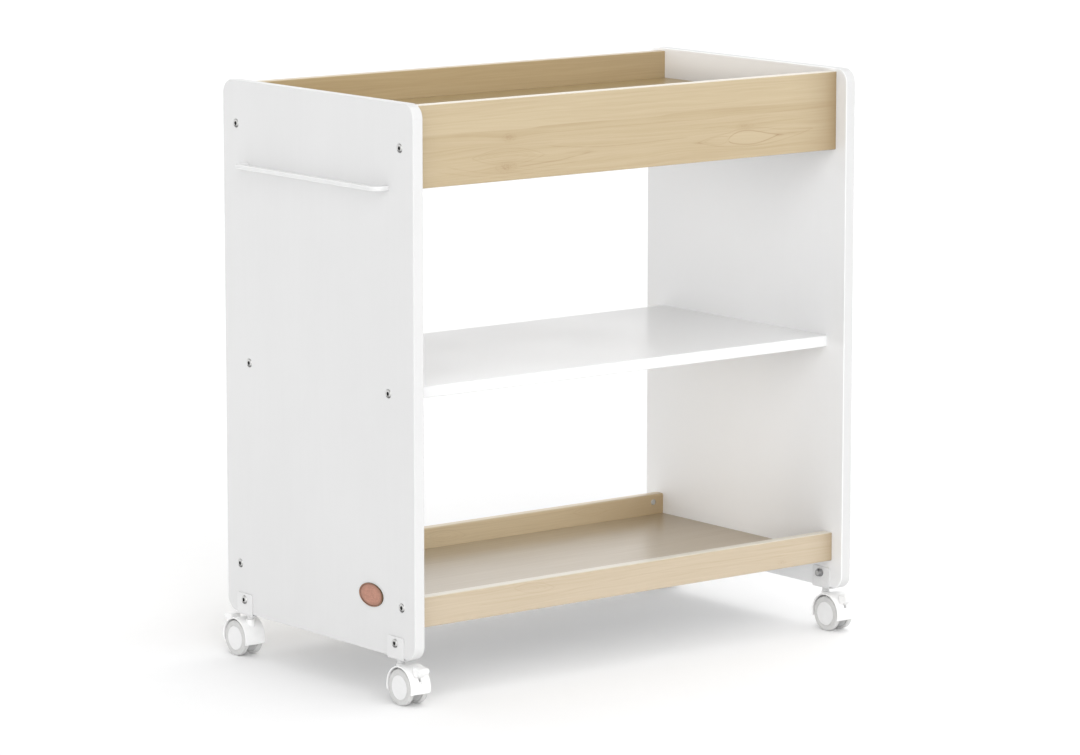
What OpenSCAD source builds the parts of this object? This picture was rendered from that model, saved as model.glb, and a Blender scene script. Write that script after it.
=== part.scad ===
// Changing table: two side panels, a railed changing deck, a middle shelf, a bottom tray and four braked twin-wheel castors.
// Frame: +Z up, X across the width, front towards -Y, origin on the floor under the centre of the whole object.

/* [Cabinet] */
// Width across the outer faces of the side panels
cabinet_w = 888; // [760:1:1000]
// Depth of a side panel, front edge to back edge
panel_d = 505; // [470:1:560]
// Height of a side panel
panel_h = 856; // [820:1:900]
// Thickness of a side panel
panel_t = 19; // [18:0.5:22]
// Corner radius of a side panel
panel_r = 23; // [10:1:28]

/* [Aprons and deck] */
// Thickness of the upright boards: aprons and tray lips
board_t = 19; // [18:0.5:20]
// Setback of the front boards from the panel's front edge
front_setback = 24.5; // [20:0.5:27]
// Setback of the back boards from the panel's back edge
back_setback = 26.5; // [20:0.5:27]
// Height of an apron board
apron_h = 127; // [115:1:135]
// Drop from the panel's top to the apron's top edge
apron_drop = 4.6; // [0:0.2:8]
// Drop from the panel's top to the deck's upper face
deck_drop = 49.7; // [40:0.1:55]
// Thickness of the deck and tray boards
sheet_t = 13; // [12:0.5:14]
// Side of the square cleat under the deck
cleat_s = 18; // [16:1:20]

/* [Shelf and tray] */
// Height of the middle shelf's upper face above the panel's bottom
shelf_top = 417.6; // [380:1:450]
// Thickness of the middle shelf
shelf_t = 18.4; // [18:0.2:22]
// Setback of the shelf's front edge
shelf_front = 42.5; // [30:0.5:55]
// Setback of the shelf's back edge
shelf_back = 39; // [30:0.5:45]
// Height of the tray board's upper face above the panel's bottom
tray_top = 59.1; // [58:0.1:62]
// Height of the lips' lower edge above the panel's bottom
lip_z = 45.7; // [45:0.1:46]
// Height of a lip board
lip_h = 47.6; // [45:0.2:52]

/* [Towel rail] */
// Reach of the rail's outer face from the panel
rail_out = 27; // [24:1:40]
// Depth of the rail's section, seen from above
rail_w = 9.6; // [9:0.2:10]
// Height of the rail's section
rail_h = 7.4; // [7:0.2:9]
// Radius of the rail's bends at the middle of the section
rail_bend = 12; // [9:0.5:16]
// Height of the rail's centre above the panel's bottom
rail_z = 724.4; // [700:0.2:735]
// Distance of the rail's legs from the panel's front and back edges
rail_inset = 66.2; // [60:0.2:90]

/* [Castors] */
// Tread diameter of a castor wheel
wheel_d = 57; // [56:0.5:58]
// Height of the panel's bottom above the wheel axle
axle_drop = 42.8; // [42.4:0.1:44]
// Distance of a castor's stem from the panel's front or back edge
castor_inset = 49.2; // [46:0.2:60]
// Trail, from the stem's axis to the wheel axle
trail = 19; // [18.5:0.1:19.5]
// Width of the hood over both wheels
hood_w = 37.6; // [37:0.2:39]
// Width of the saddle bracket
bracket_w = 41.4; // [38:0.2:44]
// Height of the saddle bracket's plates on the panel
bracket_h = 33; // [30:1:36]

/* [Badge] */
// Length of the bare oval plate
badge_l = 61.6; // [50:1:70]
// Height of the bare oval plate
badge_h = 36.8; // [30:1:42]

/* [Hidden] */
wheel_r = wheel_d / 2;
lift = wheel_r + axle_drop;
x_mid = (cabinet_w + hood_w / 2 - panel_t / 2 - rail_out) / 2;
inner_l = panel_t;
inner_r = cabinet_w - panel_t;
inner_w = inner_r - inner_l;
back_in = panel_d - back_setback - board_t;
front_in = front_setback + board_t;
front_mid = front_setback + board_t / 2;
back_mid = back_in + board_t / 2;
apron_z = panel_h - apron_drop - apron_h;
apron_bolt_z = apron_z + apron_h / 2;
deck_z = panel_h - deck_drop;
shelf_mid = shelf_top - shelf_t / 2;
lip_bolt_z = lip_z + 34.3;
lip_dowel_z = lip_z + 13;
tray_mid = tray_top - sheet_t / 2;
bolt_in = 21.5;
m6_r = 2.95;
m6_bore = 3;
m6_clear = 3.3;
head_r = 7;
nut_r = 5;
nut_len = 14;
dowel_r = 4;
dowel_len = 30;
fit_gap = 0.05;
bracket_t = 1.8;
bracket_base = 3;
castor_bolt_z = 22.5;
m8_r = 3.95;
m8_bore = 4;
m8_clear = 4.2;
axle_r = 3;
hood_ro = 32.5;
hood_ri = 30.3;
hood_up = 1;
hood_low = -4.7;
web_x = 4.5;
wheel_in = 8.8;
wheel_boss = 5;
wheel_out = hood_w / 2 - 0.6;
hub_r = 19.5;
bracket_r = 4.5;
rim_r = 24.2;
stem_r = 5.75;
spigot_r = 3.5;
boss_r = 7.3;
boss_top = axle_drop - 10.4;
boss_low = 18.5;
arm_a = 38;
arm_half = 3.4;
arm_x = 1.7;
brake_travel = 16;
$fn = 64;

// ---- helpers ----

// Cabinet frame: X from the left panel's outer face, Y from the panels' front edge, Z from the panels' bottom
module cab() { translate([-x_mid, -panel_d / 2, lift]) children(); }

// Lays a flat outline drawn in (Y, Z) against X, thickness t towards +X
module along_x(t) { rotate([90, 0, 90]) linear_extrude(t) children(); }

module round_rect(w, h, r) {
  translate([r, 0]) square([w - 2 * r, h]);
  translate([0, r]) square([w, h - 2 * r]);
  for (x = [r, w - r], y = [r, h - r]) translate([x, y]) circle(r);
}

// A rod along +X from x = a to x = b
module rod_x(a, b, r) { translate([a, 0, 0]) rotate([0, 90, 0]) cylinder(h = b - a, r = r); }

// Mirrors a left-side group onto the right panel
module both_sides() {
  children();
  translate([cabinet_w, 0, 0]) mirror([1, 0, 0]) children();
}

// (Y, Z) of the through bolts in one panel
apron_pts = [[front_mid, apron_bolt_z], [back_mid, apron_bolt_z]];
shelf_pts = [[rail_inset, shelf_mid], [panel_d - rail_inset, shelf_mid]];
lip_pts = [[front_mid, lip_bolt_z], [back_mid, lip_bolt_z]];
castor_y = [castor_inset, panel_d - castor_inset];
end_dowel_pts = [
  for (y = [front_mid, back_mid], z = [apron_bolt_z - 42, apron_bolt_z + 42, lip_dowel_z]) [y, z]
];
tray_dowel_x = [for (i = [0:3]) inner_l + inner_w * (i + 0.5) / 4];
cleat_screw_x = [for (i = [0:3]) inner_l + inner_w * (i + 0.5) / 4];

// ---- side panels ----

module panel_blank() {
  difference() {
    along_x(panel_t) round_rect(panel_d, panel_h, panel_r);
    for (p = concat(apron_pts, shelf_pts, lip_pts)) translate([0, p[0], p[1]]) {
      rod_x(-1, panel_t + 1, m6_clear);
      rod_x(-1, 1.2, head_r + 0.15);
    }
    for (p = end_dowel_pts) translate([0, p[0], p[1]]) rod_x(panel_t - 12.5, panel_t + 1, dowel_r + fit_gap);
    for (y = castor_y) translate([0, y, castor_bolt_z]) rod_x(-1, panel_t + 1, m8_clear);
  }
}

module left_panel() {
  color([0.91, 0.91, 0.9]) cab() difference() {
    panel_blank();
    for (y = [rail_inset, panel_d - rail_inset]) translate([0, y, rail_z]) rod_x(-1, panel_t + 1, 2.2);
  }
}

module right_panel() {
  color([0.91, 0.91, 0.9]) cab() translate([cabinet_w, 0, 0]) mirror([1, 0, 0]) panel_blank();
}

// ---- upright boards ----

// End borings shared by aprons and lips; the nut enters from the inner face at y = 0
module end_borings(bolt_z, dowel_zs, nut_dir) {
  both_sides() {
    translate([0, nut_dir * board_t / 2, bolt_z]) rod_x(panel_t - 1, panel_t + bolt_in + 12, m6_clear);
    translate([panel_t + bolt_in, -nut_dir * 0.5, bolt_z]) rotate([-nut_dir * 90, 0, 0]) cylinder(h = nut_len + 1, r = nut_r + fit_gap);
    for (z = dowel_zs) translate([0, nut_dir * board_t / 2, z]) rod_x(panel_t - 1, panel_t + dowel_len - 12 + 0.5, dowel_r + fit_gap);
  }
}

apron_dowel_z = [apron_bolt_z - 42, apron_bolt_z + 42];

module cleat_screw_holes(nut_dir) {
  for (x = cleat_screw_x) translate([x, -nut_dir * 0.5, deck_z - sheet_t - cleat_s / 2])
    rotate([-nut_dir * 90, 0, 0]) cylinder(h = 12.8, r = 2.05);
}

module front_apron() {
  color([0.85, 0.77, 0.62]) cab() difference() {
    translate([inner_l, front_setback, apron_z]) cube([inner_w, board_t, apron_h]);
    translate([0, front_in, 0]) { end_borings(apron_bolt_z, apron_dowel_z, -1); cleat_screw_holes(-1); }
  }
}

module back_apron() {
  color([0.85, 0.77, 0.62]) cab() difference() {
    translate([inner_l, back_in, apron_z]) cube([inner_w, board_t, apron_h]);
    translate([0, back_in, 0]) { end_borings(apron_bolt_z, apron_dowel_z, 1); cleat_screw_holes(1); }
  }
}

module lip_dowel_holes(nut_dir) {
  for (x = tray_dowel_x) translate([x, -nut_dir * 0.5, tray_mid])
    rotate([-nut_dir * 90, 0, 0]) cylinder(h = 13, r = dowel_r + fit_gap);
}

module front_lip() {
  color([0.87, 0.8, 0.68]) cab() difference() {
    translate([inner_l, front_setback, lip_z]) cube([inner_w, board_t, lip_h]);
    translate([0, front_in, 0]) { end_borings(lip_bolt_z, [lip_dowel_z], -1); lip_dowel_holes(-1); }
  }
}

module back_lip() {
  color([0.87, 0.8, 0.68]) cab() difference() {
    translate([inner_l, back_in, lip_z]) cube([inner_w, board_t, lip_h]);
    translate([0, back_in, 0]) { end_borings(lip_bolt_z, [lip_dowel_z], 1); lip_dowel_holes(1); }
  }
}

// ---- deck, cleats, shelf, tray ----

module changing_deck() {
  color([0.83, 0.75, 0.6]) cab()
    translate([inner_l + 0.5, front_in + 0.4, deck_z - sheet_t]) cube([inner_w - 1, back_in - front_in - 0.8, sheet_t]);
}

module cleat_blank() {
  difference() {
    translate([inner_l + 52, 0, -cleat_s]) cube([inner_w - 104, cleat_s, cleat_s]);
    for (x = cleat_screw_x) translate([x, 0, -cleat_s / 2]) {
      rotate([-90, 0, 0]) translate([0, 0, -1]) cylinder(h = cleat_s + 2, r = 2.2);
      translate([0, cleat_s - 2.6, 0]) rotate([-90, 0, 0]) cylinder(h = 3, r = 4.3);
    }
  }
}

module deck_cleats() {
  color([0.8, 0.7, 0.55]) cab() {
    translate([0, front_in, deck_z - sheet_t]) cleat_blank();
    translate([0, back_in, deck_z - sheet_t]) mirror([0, 1, 0]) cleat_blank();
  }
}

module cleat_screw_row() {
  for (x = cleat_screw_x) translate([x, 0, -cleat_s / 2]) {
    translate([0, -12, 0]) rotate([-90, 0, 0]) cylinder(h = 12 + cleat_s - 2.4, r = 2);
    difference() {
      translate([0, cleat_s - 2.5, 0]) rotate([-90, 0, 0]) cylinder(h = 2.3, r = 4);
      for (a = [0, 90]) translate([0, cleat_s + 0.3, 0]) rotate([0, a, 0]) cube([4.4, 2.4, 0.9], center = true);
    }
  }
}

module cleat_screws() {
  color([0.75, 0.72, 0.6]) cab() {
    translate([0, front_in, deck_z - sheet_t]) cleat_screw_row();
    translate([0, back_in, deck_z - sheet_t]) mirror([0, 1, 0]) cleat_screw_row();
  }
}

module middle_shelf() {
  color([0.92, 0.92, 0.91]) cab() difference() {
    translate([inner_l, shelf_front, shelf_top - shelf_t]) cube([inner_w, panel_d - shelf_front - shelf_back, shelf_t]);
    both_sides() for (p = shelf_pts) {
      translate([0, p[0], p[1]]) rod_x(panel_t - 1, panel_t + bolt_in + 12, m6_clear);
      translate([panel_t + bolt_in, p[0], shelf_top - shelf_t - 0.5]) cylinder(h = nut_len + 1, r = nut_r + fit_gap);
    }
  }
}

module tray_board() {
  color([0.84, 0.77, 0.66]) cab() difference() {
    translate([inner_l + 0.4, front_in, tray_top - sheet_t]) cube([inner_w - 0.8, back_in - front_in, sheet_t]);
    for (x = tray_dowel_x) translate([x, 0, tray_mid]) {
      translate([0, front_in - 1, 0]) rotate([-90, 0, 0]) cylinder(h = 19.5, r = dowel_r + fit_gap);
      translate([0, back_in + 1, 0]) rotate([90, 0, 0]) cylinder(h = 19.5, r = dowel_r + fit_gap);
    }
  }
}

// ---- hardware ----

module wooden_dowels() {
  color([0.88, 0.78, 0.6]) cab() {
    both_sides() for (p = end_dowel_pts) translate([0, p[0], p[1]]) rod_x(panel_t - 12, panel_t + dowel_len - 12, dowel_r);
    for (x = tray_dowel_x) translate([x, 0, tray_mid]) {
      translate([0, front_in - 12, 0]) rotate([-90, 0, 0]) cylinder(h = dowel_len, r = dowel_r);
      translate([0, back_in + 12, 0]) rotate([90, 0, 0]) cylinder(h = dowel_len, r = dowel_r);
    }
  }
}

// Cap bolt along +X with its head's underside at x = 1.2 and a hexagon socket
module cap_bolt() {
  difference() {
    union() {
      rod_x(1.1, panel_t + bolt_in + 8, m6_r);
      rod_x(0.2, 1.2, head_r);
      rod_x(-0.5, 0.25, head_r - 0.6);
      rod_x(-1, -0.4, head_r - 2);
    }
    translate([-2, 0, 0]) rotate([0, 90, 0]) cylinder(h = 4.6, r = 2.9, $fn = 6);
  }
}

module bolts_at(pts) { both_sides() for (p = pts) translate([0, p[0], p[1]]) cap_bolt(); }

module apron_bolts() { color([0.6, 0.6, 0.6]) cab() bolts_at(apron_pts); }
module shelf_bolts() { color([0.6, 0.6, 0.6]) cab() bolts_at(shelf_pts); }
module lip_bolts() { color([0.6, 0.6, 0.6]) cab() bolts_at(lip_pts); }

// Cross dowel nut standing along +Z, slotted at its open end z = 0, with its thread along X
module barrel_nut(depth) {
  difference() {
    cylinder(h = nut_len, r = nut_r);
    translate([-0.7, -nut_r - 1, -1]) cube([1.4, 2 * nut_r + 2, 2.2]);
    translate([0, 0, depth]) rod_x(-nut_r - 1, nut_r + 1, m6_bore);
  }
}

module board_nuts(bolt_z) {
  both_sides() {
    translate([panel_t + bolt_in, front_in, bolt_z]) rotate([90, 0, 0]) barrel_nut(board_t / 2);
    translate([panel_t + bolt_in, back_in, bolt_z]) rotate([-90, 0, 0]) barrel_nut(board_t / 2);
  }
}

module apron_barrel_nuts() { color([0.62, 0.62, 0.6]) cab() board_nuts(apron_bolt_z); }
module lip_barrel_nuts() { color([0.62, 0.62, 0.6]) cab() board_nuts(lip_bolt_z); }
module shelf_barrel_nuts() {
  color([0.62, 0.62, 0.6]) cab() both_sides() for (p = shelf_pts)
    translate([panel_t + bolt_in, p[0], shelf_top - shelf_t]) barrel_nut(shelf_t / 2);
}

// ---- towel rail ----

module rail_section() { translate([-rail_w / 2, -rail_h / 2]) round_rect(rail_w, rail_h, 2.2); }

module towel_rail() {
  run = panel_d - 2 * rail_inset;
  leg = rail_out - rail_w / 2 - rail_bend;
  color([0.94, 0.94, 0.94]) cab() translate([0, rail_inset, rail_z]) difference() {
    union() {
      // legs
      for (y = [0, run]) translate([0, y, 0]) rotate([0, -90, 0]) rotate([0, 0, 90]) linear_extrude(leg) rail_section();
      // straight run
      translate([-leg - rail_bend, rail_bend, 0]) rotate([-90, 0, 0]) linear_extrude(run - 2 * rail_bend) rail_section();
      // bends
      translate([-leg, rail_bend, 0]) rotate([0, 0, 180]) rotate_extrude(angle = 90) translate([rail_bend, 0]) rail_section();
      translate([-leg, run - rail_bend, 0]) rotate([0, 0, 90]) rotate_extrude(angle = 90) translate([rail_bend, 0]) rail_section();
    }
    for (y = [0, run]) translate([0, y, 0]) rod_x(-13, 1, 2.05);
  }
}

module rail_screws() {
  color([0.65, 0.65, 0.65]) cab() for (y = [rail_inset, panel_d - rail_inset]) translate([0, y, rail_z]) difference() {
    union() { rod_x(-12, panel_t + 0.1, 2); rod_x(panel_t, panel_t + 2.2, 4); rod_x(panel_t + 2.1, panel_t + 2.9, 3); }
    for (a = [0, 90]) translate([panel_t + 2.6, 0, 0]) rotate([a, 0, 0]) cube([2, 4.6, 0.9], center = true);
  }
}

// ---- badge ----

function oval(a, b, n) = [for (i = [0:n - 1]) [a * cos(360 * i / n), b * sin(360 * i / n)]];

module badge_plate() {
  color([0.72, 0.45, 0.3]) cab() translate([0, 112, 88]) rotate([90, 0, -90]) difference() {
    linear_extrude(2) polygon(oval(badge_l / 2, badge_h / 2, 120));
    translate([0, 0, 1.3]) linear_extrude(2) polygon(oval(badge_l / 2 - 2.2, badge_h / 2 - 2.2, 120));
  }
}

// ---- castors ----

// Saddle bracket, centred under the panel at the stem; z = 0 is the panel's bottom
module bracket_shape() {
  difference() {
    union() {
      translate([-panel_t / 2 - bracket_t, -bracket_w / 2, -bracket_base]) cube([panel_t + 2 * bracket_t, bracket_w, bracket_base - 0.1]);
      for (x = [-panel_t / 2 - bracket_t, panel_t / 2 + 0.1]) translate([x, -bracket_w / 2, -bracket_base]) along_x(bracket_t - 0.1) {
        square([bracket_w, bracket_h + bracket_base - bracket_r]);
        translate([bracket_r, 0]) square([bracket_w - 2 * bracket_r, bracket_h + bracket_base]);
        for (y = [bracket_r, bracket_w - bracket_r]) translate([y, bracket_h + bracket_base - bracket_r]) circle(bracket_r);
      }
    }
    translate([0, 0, castor_bolt_z]) rod_x(-panel_t, panel_t, m8_clear);
    translate([0, 0, -bracket_base - 1]) cylinder(h = bracket_base + 2, r = 4);
  }
}

// Stem: shank under the bracket, peened neck through it, journal down into the hood
module stem_shape() {
  translate([0, 0, -bracket_base]) cylinder(h = bracket_base - 0.3, r = 3.96);
  translate([0, 0, -10.1]) cylinder(h = 10.1 - bracket_base, r = stem_r);
  translate([0, 0, boss_low + 0.8 - axle_drop]) cylinder(h = axle_drop - 10.05 - boss_low - 0.8, r = spigot_r);
}

module castor_bolt() {
  difference() {
    union() {
      rod_x(-bracket_t - 0.1, panel_t + bracket_t + 8.6, m8_r);
      rod_x(-bracket_t - 1, -bracket_t, head_r);
      rod_x(-bracket_t - 1.7, -bracket_t - 0.9, head_r - 0.9);
      rod_x(-bracket_t - 2.2, -bracket_t - 1.6, head_r - 2.4);
    }
    translate([-bracket_t - 3.2, 0, 0]) rotate([0, 90, 0]) cylinder(h = 3, r = 3.1, $fn = 6);
  }
}

// Locking nut on the panel's inner side
module castor_nut() {
  difference() {
    union() {
      translate([panel_t + bracket_t + 0.05, 0, 0]) rotate([0, 90, 0]) cylinder(h = 6, r = 6.9, $fn = 6);
      rod_x(panel_t + bracket_t + 6, panel_t + bracket_t + 8, 5.4);
    }
    rod_x(0, 60, m8_bore);
  }
}

module castor_bolts() {
  color([0.45, 0.45, 0.46]) cab() both_sides() for (y = castor_y) translate([0, y, castor_bolt_z]) castor_bolt();
}
module castor_nuts() {
  color([0.35, 0.35, 0.36]) cab() both_sides() for (y = castor_y) translate([0, y, castor_bolt_z]) castor_nut();
}

module hood_web() {
  difference() {
    union() {
      intersection() {
        translate([0, hood_up]) circle(hood_ri + 0.8);
        translate([-60, hood_low]) square([120, 60]);
      }
      circle(8);
    }
    circle(axle_r + 0.02);
  }
}

// Where the brake arm swings inside the web, drawn in (Y, Z)
function rot2(a, p) = [p[0] * cos(a) - p[1] * sin(a), p[0] * sin(a) + p[1] * cos(a)];
module arm_sweep(reach, gap) {
  polygon([
    rot2(arm_a, [0, arm_half + gap]), rot2(arm_a, [reach, arm_half + gap]),
    rot2(arm_a - brake_travel / 2, [reach * 1.05, 0]),
    rot2(arm_a - brake_travel, [reach, -arm_half - gap]), rot2(arm_a - brake_travel, [0, -arm_half - gap])
  ]);
}

// Castor frame: origin on the axle, +Y towards the brake lever, the stem at y = -trail
module hood_shape() {
  difference() {
    union() {
      translate([-hood_w / 2, 0, 0]) along_x(hood_w) difference() {
        intersection() {
          translate([0, hood_up]) circle(hood_ro, $fn = 96);
          translate([-60, hood_low]) square([120, 60]);
        }
        translate([0, hood_up]) circle(hood_ri, $fn = 96);
      }
      translate([-web_x, 0, 0]) along_x(2 * web_x) hood_web();
      translate([0, -trail, boss_low]) cylinder(h = boss_top - boss_low, r = boss_r);
    }
    // room for the two wheels beside the web
    for (s = [-1, 1]) rod_x(s > 0 ? web_x + 0.1 : -hood_w, s > 0 ? hood_w : -web_x - 0.1, wheel_r + 0.9);
    // stem journal
    translate([0, -trail, boss_low + 0.5]) cylinder(h = 30, r = spigot_r + fit_gap);
    // brake arm pocket and its slot through the shell
    translate([-2, 0, 0]) along_x(4) { arm_sweep(31, 0.5); circle(8.5); }
    translate([-2.3, 0, 0]) along_x(4.6) intersection() {
      arm_sweep(44, 0.5);
      difference() { circle(40); circle(26); }
    }
  }
}

module axle_shape() { rod_x(-15.6, 15.6, axle_r); }

// Wheel halves drawn for the +X side
module wheel_shape() {
  difference() {
    union() {
      rod_x(wheel_out - 2.6, wheel_out, hub_r - 0.1);
      rod_x(wheel_in + 0.6, wheel_out - 2.5, rim_r - 0.1);
      rod_x(wheel_boss, wheel_in + 1, 6.5);
    }
    rod_x(0, 15.9, axle_r + fit_gap);
  }
}

module tyre_shape() {
  rotate([90, 0, 90]) rotate_extrude($fn = 96) difference() {
    translate([hub_r, wheel_in]) union() {
      square([wheel_r - hub_r - 2.5, wheel_out - wheel_in]);
      translate([0, 2.5]) square([wheel_r - hub_r, wheel_out - wheel_in - 5]);
      translate([wheel_r - hub_r - 2.5, 2.5]) circle(2.5);
      translate([wheel_r - hub_r - 2.5, wheel_out - wheel_in - 2.5]) circle(2.5);
    }
    translate([0, wheel_in - 1]) square([rim_r, wheel_out - wheel_in - 2.4 + 1]);
  }
}

module lever_shape() {
  // head, kept clear of the hood
  translate([-9, 0, 0]) along_x(18) difference() {
    union() {
      translate([37.4, 28.2]) circle(5.5);
      polygon([[21, 20], [22.9, 24.8], [23.3, 33.2], [24.9, 34.6], [37.4, 33.7], [40, 26], [36.5, 22.8], [30, 19.4], [26, 17.6]]);
    }
    translate([0, hood_up]) circle(hood_ro + 0.8, $fn = 96);
  }
  // arm through the slot to the axle
  translate([-arm_x, 0, 0]) along_x(2 * arm_x) difference() {
    union() {
      rotate([0, 0, arm_a]) translate([0, -arm_half]) square([37, 2 * arm_half]);
      circle(7.6);
    }
    circle(axle_r + fit_gap);
  }
}

// Puts castor-frame parts at a castor: side -1 left, 1 right; end -1 front, 1 rear
module at_castor(side, end) {
  cab() translate([side < 0 ? panel_t / 2 : cabinet_w - panel_t / 2, end < 0 ? castor_y[0] : castor_y[1], -axle_drop])
    rotate([0, 0, end < 0 ? 180 : 0]) translate([0, trail, 0]) children();
}
// Local X sign of the wheel that faces outwards or inwards
module on_side(side, end, outer) {
  s = side * (outer ? 1 : -1) * (end < 0 ? -1 : 1);
  at_castor(side, end) if (s > 0) children(); else mirror([1, 0, 0]) children();
}
module at_stem(side, end) {
  cab() translate([side < 0 ? panel_t / 2 : cabinet_w - panel_t / 2, end < 0 ? castor_y[0] : castor_y[1], 0]) children();
}

white = [0.93, 0.93, 0.93];
grey = [0.66, 0.66, 0.65];
steel = [0.7, 0.7, 0.7];

module front_left_bracket() { color(white) at_stem(-1, -1) bracket_shape(); }
module front_left_stem() { color(steel) at_stem(-1, -1) stem_shape(); }
module front_left_hood() { color(white) at_castor(-1, -1) hood_shape(); }
module front_left_axle() { color(steel) at_castor(-1, -1) axle_shape(); }
module front_left_outer_wheel() { color(white) on_side(-1, -1, true) wheel_shape(); }
module front_left_outer_tyre() { color(grey) on_side(-1, -1, true) tyre_shape(); }
module front_left_inner_wheel() { color(white) on_side(-1, -1, false) wheel_shape(); }
module front_left_inner_tyre() { color(grey) on_side(-1, -1, false) tyre_shape(); }
module front_left_brake_lever() { color(white) at_castor(-1, -1) lever_shape(); }

module front_right_bracket() { color(white) at_stem(1, -1) bracket_shape(); }
module front_right_stem() { color(steel) at_stem(1, -1) stem_shape(); }
module front_right_hood() { color(white) at_castor(1, -1) hood_shape(); }
module front_right_axle() { color(steel) at_castor(1, -1) axle_shape(); }
module front_right_outer_wheel() { color(white) on_side(1, -1, true) wheel_shape(); }
module front_right_outer_tyre() { color(grey) on_side(1, -1, true) tyre_shape(); }
module front_right_inner_wheel() { color(white) on_side(1, -1, false) wheel_shape(); }
module front_right_inner_tyre() { color(grey) on_side(1, -1, false) tyre_shape(); }
module front_right_brake_lever() { color(white) at_castor(1, -1) lever_shape(); }

module rear_left_bracket() { color(white) at_stem(-1, 1) bracket_shape(); }
module rear_left_stem() { color(steel) at_stem(-1, 1) stem_shape(); }
module rear_left_hood() { color(white) at_castor(-1, 1) hood_shape(); }
module rear_left_axle() { color(steel) at_castor(-1, 1) axle_shape(); }
module rear_left_outer_wheel() { color(white) on_side(-1, 1, true) wheel_shape(); }
module rear_left_outer_tyre() { color(grey) on_side(-1, 1, true) tyre_shape(); }
module rear_left_inner_wheel() { color(white) on_side(-1, 1, false) wheel_shape(); }
module rear_left_inner_tyre() { color(grey) on_side(-1, 1, false) tyre_shape(); }
module rear_left_brake_lever() { color(white) at_castor(-1, 1) lever_shape(); }

module rear_right_bracket() { color(white) at_stem(1, 1) bracket_shape(); }
module rear_right_stem() { color(steel) at_stem(1, 1) stem_shape(); }
module rear_right_hood() { color(white) at_castor(1, 1) hood_shape(); }
module rear_right_axle() { color(steel) at_castor(1, 1) axle_shape(); }
module rear_right_outer_wheel() { color(white) on_side(1, 1, true) wheel_shape(); }
module rear_right_outer_tyre() { color(grey) on_side(1, 1, true) tyre_shape(); }
module rear_right_inner_wheel() { color(white) on_side(1, 1, false) wheel_shape(); }
module rear_right_inner_tyre() { color(grey) on_side(1, 1, false) tyre_shape(); }
module rear_right_brake_lever() { color(white) at_castor(1, 1) lever_shape(); }

left_panel();
right_panel();
front_apron();
back_apron();
changing_deck();
deck_cleats();
cleat_screws();
middle_shelf();
tray_board();
front_lip();
back_lip();
wooden_dowels();
apron_bolts();
shelf_bolts();
lip_bolts();
apron_barrel_nuts();
shelf_barrel_nuts();
lip_barrel_nuts();
towel_rail();
rail_screws();
badge_plate();
castor_bolts();
castor_nuts();
front_left_bracket();
front_left_stem();
front_left_hood();
front_left_axle();
front_left_outer_wheel();
front_left_outer_tyre();
front_left_inner_wheel();
front_left_inner_tyre();
front_left_brake_lever();
front_right_bracket();
front_right_stem();
front_right_hood();
front_right_axle();
front_right_outer_wheel();
front_right_outer_tyre();
front_right_inner_wheel();
front_right_inner_tyre();
front_right_brake_lever();
rear_left_bracket();
rear_left_stem();
rear_left_hood();
rear_left_axle();
rear_left_outer_wheel();
rear_left_outer_tyre();
rear_left_inner_wheel();
rear_left_inner_tyre();
rear_left_brake_lever();
rear_right_bracket();
rear_right_stem();
rear_right_hood();
rear_right_axle();
rear_right_outer_wheel();
rear_right_outer_tyre();
rear_right_inner_wheel();
rear_right_inner_tyre();
rear_right_brake_lever();
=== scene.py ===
import math

import bmesh
import bpy
import numpy as np
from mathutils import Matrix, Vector
from mathutils.geometry import delaunay_2d_cdt


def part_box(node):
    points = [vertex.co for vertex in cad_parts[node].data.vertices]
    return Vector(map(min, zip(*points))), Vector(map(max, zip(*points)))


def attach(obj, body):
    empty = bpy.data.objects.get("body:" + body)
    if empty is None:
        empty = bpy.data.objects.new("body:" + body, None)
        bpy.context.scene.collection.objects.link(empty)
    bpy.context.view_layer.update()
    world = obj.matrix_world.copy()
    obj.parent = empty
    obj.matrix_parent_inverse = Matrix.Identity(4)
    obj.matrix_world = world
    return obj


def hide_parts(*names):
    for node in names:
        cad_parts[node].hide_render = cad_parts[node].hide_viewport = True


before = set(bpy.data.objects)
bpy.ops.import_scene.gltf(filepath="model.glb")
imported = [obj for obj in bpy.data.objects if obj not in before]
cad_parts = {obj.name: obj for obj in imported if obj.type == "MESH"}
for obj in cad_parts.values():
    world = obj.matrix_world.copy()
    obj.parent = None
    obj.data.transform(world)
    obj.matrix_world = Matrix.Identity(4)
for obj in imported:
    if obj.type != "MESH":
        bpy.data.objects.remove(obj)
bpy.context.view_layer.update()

# Cabinet coordinates, in millimetres: X from the left panel's outer face, Y from the panels' front edge,
# Z from the panels' bottom. Every size below comes from the CAD nodes' boxes.
ORIGIN = np.array(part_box("left_panel")[0], float)


def span(node):
    """A CAD node's box in cabinet millimetres."""
    lo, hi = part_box(node)
    return (np.array(lo) - ORIGIN) * 1000, (np.array(hi) - ORIGIN) * 1000


P_LO, P_HI = span("left_panel")
PANEL_T, PANEL_D, PANEL_H = P_HI
CABINET_W = span("right_panel")[1][0]
INNER_L, INNER_R = PANEL_T, CABINET_W - PANEL_T


# ---------------------------------------------------------------- mesh kit

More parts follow.
